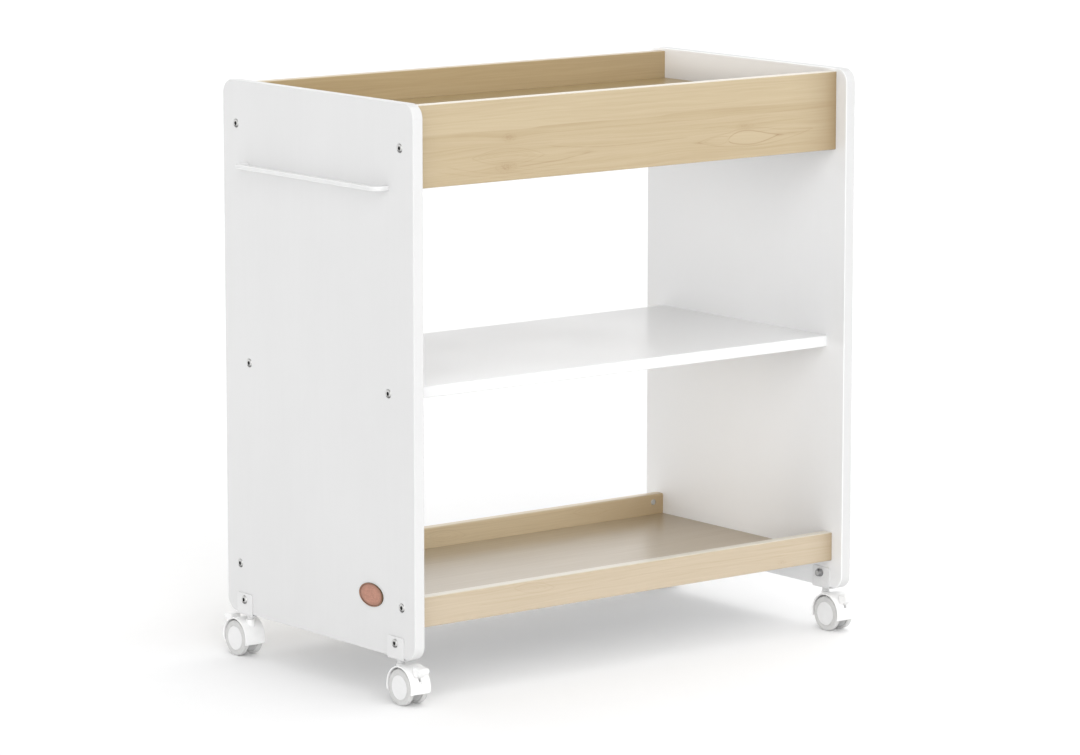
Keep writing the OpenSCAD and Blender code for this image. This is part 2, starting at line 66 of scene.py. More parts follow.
class Shape:
    """Points in millimetres and faces of one closed mesh."""

    def __init__(self):
        self.p, self.f = [], []

    def loop(self, pts):
        at = len(self.p)
        self.p += [tuple(float(c) for c in q) for q in pts]
        return list(range(at, len(self.p)))

    def skin(self, a, b):
        n = len(a)
        self.f += [(a[k], a[(k + 1) % n], b[(k + 1) % n], b[k]) for k in range(n)]

    def chain(self, loops, ring=False):
        for a, b in zip(loops, loops[1:]):
            self.skin(a, b)
        if ring:
            self.skin(loops[-1], loops[0])
        return loops

    def lid(self, a):
        self.f.append(tuple(a))

    def cap(self, rims, extra=(), place=None):
        """Fills inside the first rim and outside the others. A rim is (indices, flat points)."""
        if len(rims) == 1 and not len(extra):
            return self.lid(rims[0][0])
        flat = [Vector(q) for _, pts in rims for q in pts]
        ids = [i for idx, _ in rims for i in idx]
        edges, at = [], 0
        for idx, _ in rims:
            n = len(idx)
            edges += [(at + k, at + (k + 1) % n) for k in range(n)]
            at += n
        polys = [np.array(pts, float) for _, pts in rims]
        if len(extra):
            extra = np.array(extra, float)
            keep = inside(extra, polys)
            for poly in polys:
                near = np.sqrt(((extra[:, None] - poly[None]) ** 2).sum(2)).min(1)
                keep &= near > 0.12
            extra = extra[keep]
            ids += self.loop([place(a, b) for a, b in extra])
            flat += [Vector(q) for q in extra]
        vs, _, fs, orig, _, _ = delaunay_2d_cdt(flat, edges, [], 0, 1e-6)
        mid = np.array([[sum(vs[i].x for i in f) / len(f), sum(vs[i].y for i in f) / len(f)] for f in fs])
        ok = inside(mid, polys)
        self.f += [tuple(ids[orig[i][0]] for i in f) for f, good in zip(fs, ok) if good]

    def bore(self, ring, prof, place, rims, depth=None, far=None):
        """A hole: ring(r) is its flat outline and prof its (r, depth) steps. It ends in a lid, or at far's rim at depth."""
        loops = self.chain([self.loop([place(a, b, w) for a, b in ring(r)]) for r, w in prof])
        rims.append((loops[0], ring(prof[0][0])))
        if far is not None and abs(prof[-1][1] - depth) < 1e-9:
            far.append((loops[-1], ring(prof[-1][0])))
        else:
            self.lid(loops[-1])

    def add(self, other, move=lambda q: q):
        at = len(self.p)
        self.p += [tuple(move(q)) for q in other.p]
        self.f += [tuple(i + at for i in f) for f in other.f]
        return self


def inside(pts, polys):
    """Even-odd test of points against all the outlines together."""
    pts = np.asarray(pts, float)
    odd = np.zeros(len(pts), bool)
    for poly in polys:
        a, b = poly, np.roll(poly, -1, 0)
        for (x1, y1), (x2, y2) in zip(a, b):
            if y1 == y2:
                continue
            hit = ((y1 > pts[:, 1]) != (y2 > pts[:, 1])) & (pts[:, 0] < (x2 - x1) * (pts[:, 1] - y1) / (y2 - y1) + x1)
            odd ^= hit
    return odd


def circle(c, r, n=32):
    return [(c[0] + r * math.cos(2 * math.pi * k / n), c[1] + r * math.sin(2 * math.pi * k / n)) for k in range(n)]


def rrect(a0, b0, a1, b1, r, n=6, d=0.0, along=()):
    """Rounded rectangle, counter-clockwise, inset by d, with the same points at every inset. along: extra stations in a."""
    r = list(r) if isinstance(r, (tuple, list)) else [r] * 4
    out = []
    corners = ((a1, b0, -1, 1, -90), (a1, b1, -1, -1, 0), (a0, b1, 1, -1, 90), (a0, b0, 1, 1, 180))
    for q, (ca, cb, sa, sb, t0) in enumerate(corners):
        for k in range(n + 1):
            t = math.radians(t0 + 90 * k / n)
            out.append((ca + sa * r[q] + (r[q] - d) * math.cos(t), cb + sb * r[q] + (r[q] - d) * math.sin(t)))
        if q == 1:
            out += [(s, b1 - d) for s in sorted(along, reverse=True) if a0 + r[2] + 1e-3 < s < a1 - r[1] - 1e-3]
        if q == 3:
            out += [(s, b0 + d) for s in sorted(along) if a0 + r[3] + 1e-3 < s < a1 - r[0] - 1e-3]
    return out


def inset(pts, d):
    """A counter-clockwise outline moved inwards by d."""
    p = np.array(pts, float)
    e1, e2 = p - np.roll(p, 1, 0), np.roll(p, -1, 0) - p
    e1 /= np.linalg.norm(e1, axis=1)[:, None]
    e2 /= np.linalg.norm(e2, axis=1)[:, None]
    n1, n2 = np.stack([-e1[:, 1], e1[:, 0]], 1), np.stack([-e2[:, 1], e2[:, 0]], 1)
    return [tuple(q) for q in p + d * (n1 + n2) / (1 + (n1 * n2).sum(1))[:, None]]


def round_poly(pts, radii, n=5):
    """A counter-clockwise polygon with each corner rounded."""
    out = []
    for k, (p, r) in enumerate(zip(pts, radii)):
        p, a, b = np.array(p, float), np.array(pts[k - 1], float), np.array(pts[(k + 1) % len(pts)], float)
        u, v = (a - p) / np.linalg.norm(a - p), (b - p) / np.linalg.norm(b - p)
        half = math.acos(max(-1, min(1, float(u @ v)))) / 2
        if r <= 0 or half > math.radians(88):
            out.append(tuple(p))
            continue
        t = r / math.tan(half)
        c = p + (u + v) / np.linalg.norm(u + v) * r / math.sin(half)
        s, e = p + u * t - c, p + v * t - c
        a0, a1 = math.atan2(s[1], s[0]), math.atan2(e[1], e[0])
        turn = (a1 - a0 + math.pi) % (2 * math.pi) - math.pi
        out += [(c[0] + r * math.cos(a0 + turn * i / n), c[1] + r * math.sin(a0 + turn * i / n)) for i in range(n + 1)]
    return out


def plate(outline, t, r, place, holes=(), segs=4, extra=()):
    """A plate from w = 0 to w = t with both rims rounded over by r. A hole is (ring, profile of (radius, w))."""
    S = Shape()
    rows = [(r * (1 - math.sin(q)), r * (1 - math.cos(q))) for q in (math.pi / 2 * k / segs for k in range(segs + 1))]
    rows += [(d, t - w) for d, w in reversed(rows)]
    loops = S.chain([S.loop([place(a, b, w) for a, b in outline(d)]) for d, w in rows])
    low, high = [(loops[0], outline(rows[0][0]))], [(loops[-1], outline(rows[-1][0]))]
    for ring, prof in holes:
        if prof[0][1] < t / 2:
            S.bore(ring, prof, place, low, t, high)
        else:
            S.bore(ring, prof, place, high, 0, low)
    S.cap(low, extra, lambda a, b: place(a, b, 0))
    S.cap(high, extra, lambda a, b: place(a, b, t))
    return S


def board(lo, hi, r, c, holes=None, n=6):
    """A moulded board along X: long edges rounded by r, ends cut square with a fine chamfer c, and borings in any face."""
    S, holes = Shape(), holes or {}
    (x0, y0, z0), (x1, y1, z1) = lo, hi
    stations = [S.loop([(x, a, b) for a, b in rrect(y0, z0, y1, z1, r, n, d)]) for x, d in ((x0, c), (x0 + c, 0), (x1 - c, 0), (x1, c))]
    S.skin(stations[0], stations[1])
    S.skin(stations[2], stations[3])
    m, pts = n + 1, rrect(y0, z0, y1, z1, r, n)
    sides = (
        ("+y", lambda x, q, w: (x, y1 - w, q), 1), ("+z", lambda x, q, w: (x, q, z1 - w), 0),
        ("-y", lambda x, q, w: (x, y0 + w, q), 1), ("-z", lambda x, q, w: (x, q, z0 + w), 0),
    )
    A, B = stations[1], stations[2]
    for q, (key, place, axis) in enumerate(sides):
        for k in range(n):
            i = q * m + k
            S.f.append((A[i], A[i + 1], B[i + 1], B[i]))
        i, j = q * m + n, ((q + 1) % 4) * m
        rims = [([A[i], B[i], B[j], A[j]], [(x0 + c, pts[i][axis]), (x1 - c, pts[i][axis]), (x1 - c, pts[j][axis]), (x0 + c, pts[j][axis])])]
        for ring, prof in holes.get(key, ()):
            S.bore(ring, prof, place, rims)
        S.cap(rims)
    for loop, key, place in ((stations[0], "-x", lambda a, b, w: (x0 + w, a, b)), (stations[3], "+x", lambda a, b, w: (x1 - w, a, b))):
        rims = [(loop, rrect(y0, z0, y1, z1, r, n, c))]
        for ring, prof in holes.get(key, ()):
            S.bore(ring, prof, place, rims)
        S.cap(rims)
    return S


def hexagon(r, n=48):
    """Radius of a hexagon of corner radius r at n directions."""
    return [r * math.cos(math.pi / 6) / math.cos((2 * math.pi * k / n) % (math.pi / 3) - math.pi / 6) for k in range(n)]


def lathe(prof, n=48, ring=False):
    """Turned about X. Each step is (r, x), or (r, x, limit) for a hexagon of corner radius r cut to radius limit."""
    S, loops = Shape(), []
    for step in prof:
        radii = [step[0]] * n if len(step) == 2 else [min(q, step[2]) for q in hexagon(step[0], n)]
        loops.append(S.loop([(step[1], radii[k] * math.cos(2 * math.pi * k / n), radii[k] * math.sin(2 * math.pi * k / n)) for k in range(n)]))
    S.chain(loops, ring)
    if not ring:
        S.lid(loops[0])
        S.lid(loops[-1])
    return S


def arc(cr, cx, r, a0, a1, n):
    """Profile points (r, x) on a circle about (cr, cx)."""
    return [(cr + r * math.cos(math.radians(a0 + (a1 - a0) * k / n)), cx + r * math.sin(math.radians(a0 + (a1 - a0) * k / n))) for k in range(n + 1)]


def mesh_of(S, name, scale=1.0, origin=(0, 0, 0), weld=1e-4):
    """A Blender mesh with outward normals."""
    me = bpy.data.meshes.new(name)
    co = np.array(S.p, float) * scale + np.array(origin)
    me.from_pydata([tuple(q) for q in co], [], S.f)
    bm = bmesh.new()
    bm.from_mesh(me)
    bmesh.ops.remove_doubles(bm, verts=bm.verts, dist=weld * scale)
    bmesh.ops.recalc_face_normals(bm, faces=bm.faces)
    bm.to_mesh(me)
    bm.free()
    return me


def combine(base, others):
    """base joined with or cut by other shapes: others is [(operation, shape)]."""
    ob = bpy.data.objects.new("combine_base", mesh_of(base, "combine_base"))
    bpy.context.scene.collection.objects.link(ob)
    made = [ob]
    for op, S in others:
        tool = bpy.data.objects.new("combine_tool", mesh_of(S, "combine_tool"))
        bpy.context.scene.collection.objects.link(tool)
        made.append(tool)
        m = ob.modifiers.new("b", "BOOLEAN")
        m.operation, m.object, m.solver = op, tool, "EXACT"
    bpy.context.view_layer.update()
    me = bpy.data.meshes.new_from_object(ob.evaluated_get(bpy.context.evaluated_depsgraph_get()))
    out = Shape()
    out.p = [tuple(v.co) for v in me.vertices]
    out.f = [tuple(p.vertices) for p in me.polygons]
    for o in made:
        data = o.data
        bpy.data.objects.remove(o)
        bpy.data.meshes.remove(data)
    bpy.data.meshes.remove(me)
    return out


PIECES = []


def piece(name, S, material, slot, body, *nodes, smooth=38, under=None):
    ob = bpy.data.objects.new(name, mesh_of(S, name, 0.001, ORIGIN))
    me = ob.data
    me.polygons.foreach_set("use_smooth", [True] * len(me.polygons))
    me.set_sharp_from_angle(angle=math.radians(smooth))
    me.materials.append(material)
    if under is not None:
        me.materials.append(under)
        for p in me.polygons:
            if p.normal.z < -0.9:
                p.material_index = 1
    bpy.context.scene.collection.objects.link(ob)
    m = ob.modifiers.new("normals", "WEIGHTED_NORMAL")
    m.mode, m.weight, m.keep_sharp = "FACE_AREA", 50, True
    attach(ob, body)
    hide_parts(*nodes)
    PIECES.append(ob)
    return ob


# ---------------------------------------------------------------- material kit

class Val:
    """A number or colour on its way through a node tree."""

    def __init__(self, net, out):
        self.net, self.out = net, out

    def _op(self, kind, *others):
        return self.net.math(kind, self, *others)

    def __add__(self, o): return self._op("ADD", o)
    def __radd__(self, o): return self._op("ADD", o)
    def __sub__(self, o): return self._op("SUBTRACT", o)
    def __rsub__(self, o): return self.net.math("SUBTRACT", o, self)
    def __mul__(self, o): return self._op("MULTIPLY", o)
    def __rmul__(self, o): return self._op("MULTIPLY", o)
    def __truediv__(self, o): return self._op("DIVIDE", o)
    def __neg__(self): return self._op("MULTIPLY", -1.0)
    def sq(self): return self * self
    def fn(self, kind, *o): return self._op(kind, *o)


class Net:
    """A material's node tree, written as sums."""

    def __init__(self, name):
        self.mat = bpy.data.materials.new(name)
        self.mat.use_nodes = True
        self.t = self.mat.node_tree
        self.t.nodes.clear()
        self.out = self.t.nodes.new("ShaderNodeOutputMaterial")
        self.bsdf = self.t.nodes.new("ShaderNodeBsdfPrincipled")
        self.t.links.new(self.bsdf.outputs[0], self.out.inputs[0])
        self.count = 0

    def node(self, kind, **props):
        n = self.t.nodes.new(kind)
        n.location = (-200 - 170 * (self.count % 24), 300 - 190 * (self.count // 24))
        self.count += 1
        for k, v in props.items():
            setattr(n, k, v)
        return n

    def put(self, socket, value):
        if isinstance(value, Val):
            self.t.links.new(value.out, socket)
        else:
            socket.default_value = value
        return self

    def math(self, kind, *args):
        n = self.node("ShaderNodeMath", operation=kind)
        for i, a in enumerate(args):
            self.put(n.inputs[i], a)
        return Val(self, n.outputs[0])

    def place(self):
        """Cabinet coordinates in millimetres, from the object's own coordinates."""
        tc = self.node("ShaderNodeTexCoord")
        m = self.node("ShaderNodeVectorMath", operation="MULTIPLY_ADD")
        self.t.links.new(tc.outputs["Object"], m.inputs[0])
        m.inputs[1].default_value = (1000, 1000, 1000)
        m.inputs[2].default_value = tuple(-ORIGIN * 1000)
        s = self.node("ShaderNodeSeparateXYZ")
        self.t.links.new(m.outputs[0], s.inputs[0])
        return tuple(Val(self, s.outputs[i]) for i in range(3))

    def noise(self, x, y, z, detail=2.0, rough=0.5, distort=0.0):
        c = self.node("ShaderNodeCombineXYZ")
        for i, v in enumerate((x, y, z)):
            self.put(c.inputs[i], v)
        n = self.node("ShaderNodeTexNoise", noise_dimensions="3D")
        n.inputs["Scale"].default_value = 1.0
        n.inputs["Detail"].default_value = detail
        n.inputs["Roughness"].default_value = rough
        n.inputs["Distortion"].default_value = distort
        self.t.links.new(c.outputs[0], n.inputs["Vector"])
        return Val(self, n.outputs["Fac"])

    def random(self, w):
        n = self.node("ShaderNodeTexWhiteNoise", noise_dimensions="1D")
        self.put(n.inputs["W"], w)
        return Val(self, n.outputs["Value"])

    def ramp(self, v, a, b, lo=0.0, hi=1.0, smooth=True):
        n = self.node("ShaderNodeMapRange", interpolation_type="SMOOTHSTEP" if smooth else "LINEAR", clamp=True)
        self.put(n.inputs["Value"], v)
        for k, x in (("From Min", a), ("From Max", b), ("To Min", lo), ("To Max", hi)):
            n.inputs[k].default_value = x
        return Val(self, n.outputs["Result"])

    def bell(self, v, width):
        """exp(-(v / width) squared)"""
        return (v / width).sq().fn("MULTIPLY", -1.0).fn("EXPONENT")

    def blob(self, u, v, u0, v0, su, sv):
        return (((u - u0) / su).sq() + ((v - v0) / sv).sq()).fn("MULTIPLY", -0.5).fn("EXPONENT")

    def curve(self, u, pts):
        """v along a line drawn through the given (u, v) points, held level outside its ends."""
        lo, hi = pts[0][0], pts[-1][0]
        v0, v1 = min(v for _, v in pts) - 0.5, max(v for _, v in pts) + 0.5
        n = self.node("ShaderNodeFloatCurve")
        c = n.mapping.curves[0]
        c.points[0].location = (0.0, (pts[0][1] - v0) / (v1 - v0))
        c.points[-1].location = (1.0, (pts[-1][1] - v0) / (v1 - v0))
        for a, b in pts[1:-1]:
            c.points.new((a - lo) / (hi - lo), (b - v0) / (v1 - v0))
        n.mapping.update()
        self.put(n.inputs["Value"], self.ramp(u, lo, hi, smooth=False))
        return Val(self, n.outputs[0]) * (v1 - v0) + v0

    def gate(self, u, lo, hi, soft):
        return self.ramp(u, lo - soft, lo + soft) * self.ramp(u, hi - soft, hi + soft, 1.0, 0.0)

    def mix(self, fac, a, b):
        n = self.node("ShaderNodeMix", data_type="RGBA", clamp_factor=True)
        self.put(n.inputs["Factor"], fac)
        for i, c in ((6, a), (7, b)):
            self.put(n.inputs[i], c if isinstance(c, Val) else (*c, 1.0))
        return Val(self, n.outputs[2])

    def bump(self, height, distance, strength=1.0):
        n = self.node("ShaderNodeBump")
        n.inputs["Strength"].default_value = strength
        n.inputs["Distance"].default_value = distance
        self.put(n.inputs["Height"], height)
        self.t.links.new(n.outputs[0], self.bsdf.inputs["Normal"])

    def set(self, **sockets):
        for k, v in sockets.items():
            self.put(self.bsdf.inputs[k.replace("_", " ")], v)
        return self.mat


# ---------------------------------------------------------------- materials

def lacquer(name, tone, shade, rough, seed, far=None, rim=None, high=None, outer=None):
    """Satin sprayed lacquer on board: fine orange peel, and slow tone changes over the sheet.

    far: painted light, lighter towards the back of the right panel's inner face; high, the lightest, painted light
    below the shelf and along the top, over painted shade down towards the deck. rim: painted shade on its narrow faces
    and just above
    the shelf. outer: the tone of its outer face, the same as the left panel's."""
    n = Net(name)
    x, y, z = n.place()
    slow = n.noise(x / 140, y / 140, z / 260 + seed, 3.0)
    fine = n.noise(x / 4.5, y / 4.5, z / 4.5, 1.0)
    streak = n.noise(x / 9, y / 9, z / 160, 2.0)
    n.bump(fine * 0.8 + streak * 0.2, 0.000012)
    col = n.mix(n.ramp(slow * 0.75 + streak * 0.25, 0.3, 0.7), shade, tone)
    if far is not None:
        inner = n.ramp(x, INNER_R + 4.0, INNER_R + 8.0, 1.0, 0.0)
        # Painted light: lighter towards the back of the inner face.
        col = n.mix(n.ramp(y + z * -0.06, 10.0, 330.0) * inner, col, far)
        # Painted light along the top of the inner face, over painted shade down towards the deck.
        painted_shading_over_deck = n.mix(n.ramp(z, PANEL_H - 50.0, PANEL_H - 12.0), tone, high)
        col = n.mix(n.ramp(z, PANEL_H - 66.0, PANEL_H - 52.0) * n.ramp(y, 22.0, 34.0) * inner, col, painted_shading_over_deck)
        low, top = (c[2] for c in span("middle_shelf"))
        # Painted shade just above the shelf.
        col = n.mix(n.ramp(z, top + 20.0, top + 230.0, 0.26, 0.0) * n.ramp(z, low, top) * inner, col, rim)
        # Painted light below the shelf.
        painted_light_below_shelf = n.ramp(z, low - 230.0, low - 20.0, 0.7, 1.0) * n.ramp(y, 60.0, 330.0, 0.15, 1.0)
        col = n.mix(painted_light_below_shelf * n.ramp(z, low, top, 1.0, 0.0) * inner, col, high)
        col = n.mix(n.ramp(x, CABINET_W - 2.0, CABINET_W - 1.0), col, outer)
    # Painted shade on the right panel's narrow faces, between its inner and outer faces.
    if rim is not None:
        col = n.mix(n.ramp(x, INNER_R + 0.9, INNER_R + 1.8) * n.ramp(x, CABINET_W - 1.8, CABINET_W - 0.9, 1.0, 0.0), col, rim)
    return n.set(Base_Color=col, Roughness=n.ramp(slow, 0.25, 0.75, rough - 0.015, rough + 0.045), IOR=1.48)


def wood(name, light, dark, flat, v0, seed, period=5.2, line=0.5, features=(), rough=0.3, seam=None, fibre=1.0, coat=0.3, band=1.0, painted_highlight_top_z=None, right=None):
    """Clear-coated board with its growth rings, fibres, knots and closed figures, laid out in cabinet millimetres, and
    optionally a painted highlight along its top edge and painted shade towards its right end.
    """
    n = Net(name)
    x, y, z = n.place()
    u = x - INNER_L
    vv = (y - v0) if flat else (z - v0)
    v = vv + (z if flat else y) * 0.55
    below, above, gap = 1.0, 0.0, None
    if seam is not None:
        gap = vv - n.curve(u, seam)
        below, above = n.ramp(gap, -0.4, 0.4, 1.0, 0.0), n.ramp(gap, -0.4, 0.4)
    wave = (n.noise(u / 360, v / 36, seed, 2.0) - 0.5) * 20 + (n.noise(u / 95, v / 11, seed + 7.3, 2.0) - 0.5) * 2.6
    push = wave
    for f in features:
        if f[0] == "knot":
            _, ku, kv, su, sv, lift, power = f
            push = push + n.blob(u, vv, ku, kv, su * 5.0, sv * 3.0) * lift * below
        elif f[0] == "swell":
            _, ku, kv, su, sv, power = f
            push = push - (vv - kv) * n.blob(u, vv, ku, kv, su, sv) * power
    field = v + push + (above * 37.0 if seam is not None else 0.0)
    turn = field / period + (field / 14.0 + seed).fn("SINE") * 0.5
    ring = n.bell(turn.fn("FRACT") - 0.5, 0.15)
    amp = n.ramp(n.random(turn.fn("FLOOR") + seed), 0.0, 1.0, 0.1, 1.0)
    patchy = n.ramp(n.noise(u / 120, v / 8, seed + 3.1, 2.0), 0.36, 0.64, 0.2, 1.15)
    late = ring * amp * patchy
    if seam is not None:
        late = late * (above * -0.5 + 1.0)
    fu, fv = (3.0, 3.0) if flat else (1.0, 1.0)
    streaks = n.noise(u / (230 * fu), field / (2.7 * fv), seed + 1.7, 3.0, 0.55)
    fibres = n.noise(u / (60 * fu), field / (1.05 * fv), seed + 2.9, 2.0, 0.6)
    flecks = n.ramp(n.noise(u / (11 * fu), field / (0.9 * fv), seed + 5.9, 1.0), 0.64, 0.8)
    tone = n.noise(u / (420 * fu), field / (17 * fv), seed + 11.0, 2.0)
    d = late * (0.36 * line) + (streaks - 0.5) * (0.95 * fibre) + (fibres - 0.5) * (0.5 * fibre) + (tone - 0.5) * (0.5 * band) + flecks * 0.08 + 0.36
    if seam is not None:
        d = d - above * 0.16 + n.ramp(gap, -17.0, -1.0) * below * n.ramp(n.noise(u / 240, 0.0, seed), 0.3, 0.6, 0.35, 1.0) * 0.26
    broken = n.ramp(n.noise(u / 34, vv / 4, seed + 9.0, 2.0), 0.3, 0.6, 0.35, 1.0)
    brown = None

    def stain(more):
        nonlocal brown
        brown = more if brown is None else brown + more

    for f in features:
        if f[0] == "knot":
            _, ku, kv, su, sv, lift, power = f
            grit = n.noise(u / 2.6, vv / 1.4, seed + ku, 3.0, 0.7)
            spot = n.blob(u, vv, ku, kv, su, sv) * n.ramp(grit, 0.38, 0.62, 0.1, 1.2)
            ripple = n.bell((((u - ku) / su).sq() + ((vv - kv) / sv).sq()).fn("SQRT") - 2.4, 0.35) * n.ramp(grit, 0.4, 0.6)
            stain(spot * power + ripple * (power * 0.3))
            d = d + n.blob(u, vv, ku, kv, su * 3.4, sv * 2.2) * (power * 0.32)
        elif f[0] == "lens":
            _, ku, kv, a, h, tilt, width, power = f
            s = (u - ku) / a
            off = (vv - kv - (u - ku) * tilt).fn("ABSOLUTE") - (s.sq() * -1.0 + 1.0) * h
            stain(n.bell(off, width) * n.gate(s, -1.0, 1.0, 0.05) * broken * power)
        elif f[0] == "leaf":
            _, top, low, width, power, calm = f
            t, b = vv - n.curve(u, top), vv - n.curve(u, low)
            g = n.gate(u, top[0][0], top[-1][0], 1.2)
            stain((n.bell(t, width).fn("MAXIMUM", n.bell(b, width))) * g * power)
            core = n.ramp(t, -2.0, 0.0, 1.0, 0.0) * n.ramp(b, 0.0, 2.0) * g
            d = d * (core * -calm + 1.0)
        elif f[0] == "line":
            _, pts, width, power = f
            stain(n.bell(vv - n.curve(u, pts), width) * n.gate(u, pts[0][0] + 6, pts[-1][0] - 6, 8.0) * broken * power)
        elif f[0] == "smudge":
            _, ku, kv, su, sv, power = f
            stain(n.blob(u, vv, ku, kv, su, sv) * n.ramp(fibres, 0.35, 0.65, 0.4, 1.2) * power)
    col = n.mix(d, light, dark)
    if brown is not None:
        col = n.mix(brown, col, tuple(c * k for c, k in zip(dark, (0.66, 0.50, 0.36))))
    # Painted shade: darker towards the board's right end, where the right panel shades it; a fourth value keeps it to
    # the face towards the front.
    if right is not None:
        u0, u1, power = right[:3]
        t = n.ramp(u, u0, u1, smooth=False)
        if len(right) > 3:
            power = n.ramp(y, right[3] - 1.0, right[3] + 1.0, 1.0, 0.0) * power
        col = n.mix((t * t * t * 0.75 + t * 0.25) * power, col, tuple(c * k for c, k in zip(dark, (0.62, 0.55, 0.45))))
    # Painted highlight: a pale band along the board's top edge.
    if painted_highlight_top_z is not None:
        col = n.mix(n.ramp(z, painted_highlight_top_z - 1.3, painted_highlight_top_z - 0.5) * 0.7, col, (0.74, 0.71, 0.62))
    n.bump(streaks * 0.4 + fibres * 0.4 + flecks * -0.5, 0.000012)
    return n.set(
        Base_Color=col, Roughness=n.ramp(fibres, 0.3, 0.7, rough - 0.01, rough + 0.06), IOR=1.5,
        Coat_Weight=coat, Coat_Roughness=0.29, Coat_IOR=1.5,
    )


def moulded(name, tone, shade, rough, grain=0.000005, spec=0.5):
    """Moulded plastic: a faint grain, flow marks and slightly uneven gloss."""
    n = Net(name)
    x, y, z = n.place()
    fine = n.noise(x / 1.1, y / 1.1, z / 1.1, 1.0)
    slow = n.noise(x / 17, y / 17, z / 11, 3.0)
    n.bump(fine, grain)
    return n.set(
        Base_Color=n.mix(n.ramp(slow, 0.3, 0.7), shade, tone), Roughness=n.ramp(slow, 0.3, 0.7, rough - 0.04, rough + 0.05),
        IOR=1.46, Specular_IOR_Level=spec,
    )


def rubber(name, tone, shade, rough):
    """Soft tread compound with a dusty, finely pitted surface."""
    n = Net(name)
    x, y, z = n.place()
    pits = n.noise(x / 1.0, y / 1.0, z / 1.0, 2.0, 0.6)
    dust = n.noise(x / 9, y / 9, z / 9, 4.0, 0.6)
    n.bump(pits, 0.000012)
    return n.set(Base_Color=n.mix(n.ramp(dust * 0.7 + pits * 0.3, 0.35, 0.65), shade, tone), Roughness=n.ramp(dust, 0.3, 0.7, rough - 0.05, rough + 0.06), IOR=1.5, Specular_IOR_Level=0.35)


def metal(name, tone, shade, rough, scratch=0.00002, metallic=1.0):
    """Plated metal with fine turning marks and slight tarnish."""
    n = Net(name)
    x, y, z = n.place()
    marks = n.noise(x / 0.3, y / 2.4, z / 2.4, 2.0, 0.6)
    stain = n.noise(x / 3.5, y / 3.5, z / 3.5, 4.0, 0.6)
    n.bump(marks, scratch)
    return n.set(
        Base_Color=n.mix(n.ramp(stain * 0.6 + marks * 0.4, 0.36, 0.64), shade, tone), Metallic=metallic,
        Roughness=n.ramp(stain, 0.3, 0.7, rough - 0.03, rough + 0.06),
    )


def powder(name, tone, shade, rough, painted_highlight_bar_z=None):
    """White powder coat on metal: a pebbled skin, with a painted highlight along the top and bottom edges of the bar
    centred at the given height.
    """
    n = Net(name)
    x, y, z = n.place()
    pebble = n.noise(x / 1.8, y / 1.8, z / 1.8, 1.0)
    slow = n.noise(x / 30, y / 30, z / 30, 2.0)
    n.bump(pebble, 0.000006)
    col = n.mix(n.ramp(slow * 0.6 + pebble * 0.4, 0.35, 0.65), shade, tone)
    if painted_highlight_bar_z is not None:
        # Painted highlight: lighter bands along the bar's upper and lower edges.
        col = n.mix(n.bell((z - painted_highlight_bar_z).fn("ABSOLUTE") - 2.9, 0.7), col, tuple(min(0.9, c * 1.13) for c in tone))
    return n.set(Base_Color=col, Roughness=n.ramp(slow, 0.3, 0.7, rough - 0.01, rough + 0.06), IOR=1.5)


def plated_bolts(name, tone, shade, rough, centres):
    """Bright plated bolts, with painted shade near black down in each hexagon socket and a painted dark reflection low
    on each head.
    """
    n = Net(name)
    x, y, z = n.place()
    marks = n.noise(x / 0.3, y / 2.4, z / 2.4, 2.0, 0.6)
    stain = n.noise(x / 3.5, y / 3.5, z / 3.5, 4.0, 0.6)
    near, low = None, None
    for cy, cz in centres:
        q = ((y - cy).sq() + (z - cz).sq()).fn("SQRT")
        near = q if near is None else near.fn("MINIMUM", q)
    # The band low on each head, where a dark reflection is painted.
    for cz in sorted({c[1] for c in centres}):
        g = n.gate(z, cz - 9.0, cz - 3.2, 0.9)
        low = g if low is None else low + g
    outside = n.ramp(x, 0.8, 1.6, 1.0, 0.0).fn("MAXIMUM", n.ramp(x, CABINET_W - 1.6, CABINET_W - 0.8))
    col = n.mix(n.ramp(stain * 0.6 + marks * 0.4, 0.36, 0.64), shade, tone)
    # Painted dark reflection low on each head, on the outer faces.
    col = n.mix(low * outside * n.ramp(stain, 0.3, 0.6, 0.7, 0.95), col, tuple(c * 0.30 for c in shade))
    # Painted shade: near black down in each hexagon socket.
    col = n.mix(n.ramp(near, 2.95, 3.12, 1.0, 0.0) * outside, col, (0.010, 0.010, 0.011))
    n.bump(marks, 0.00002)
    return n.set(Base_Color=col, Metallic=1.0, Roughness=n.ramp(stain, 0.3, 0.7, rough - 0.03, rough + 0.06))


def copper_plate(name):
    """Satin copper with a darker patina settled in the groove inside the rim."""
    n = Net(name)
    x, y, z = n.place()
    lo, hi = span("badge_plate")
    cy, cz, a, b = (lo[1] + hi[1]) / 2, (lo[2] + hi[2]) / 2, (hi[1] - lo[1]) / 2, (hi[2] - lo[2]) / 2
    q = (((y - cy) / a).sq() + ((z - cz) / b).sq()).fn("SQRT")
    brush = n.noise(y / 9, z / 0.35, x, 2.0)
    patina = n.noise(y / 4.5, z / 4.5, x / 4.5, 4.0, 0.65)
    groove = n.bell(q - 0.90, 0.035) * 0.85 + n.bell(q - 0.80, 0.07) * 0.2
    field = n.mix(n.ramp(brush * 0.5 + patina * 0.5, 0.35, 0.65), (0.40, 0.205, 0.15), (0.56, 0.30, 0.225))
    rim = n.mix(n.ramp(patina, 0.35, 0.65), (0.30, 0.145, 0.075), (0.45, 0.225, 0.125))
    col = n.mix(n.ramp(q, 0.93, 0.96), field, rim)
    col = n.mix(groove * n.ramp(patina, 0.3, 0.6, 0.7, 1.0), col, (0.075, 0.05, 0.035))
    col = n.mix(n.ramp(q, 0.965, 0.99) * n.ramp(patina, 0.25, 0.6, 0.65, 1.0), col, (0.11, 0.075, 0.042))
    n.bump(brush * 0.7 + patina * 0.3, 0.00003)
    return n.set(Base_Color=col, Metallic=0.85, Roughness=n.ramp(patina, 0.3, 0.7, 0.34, 0.5))
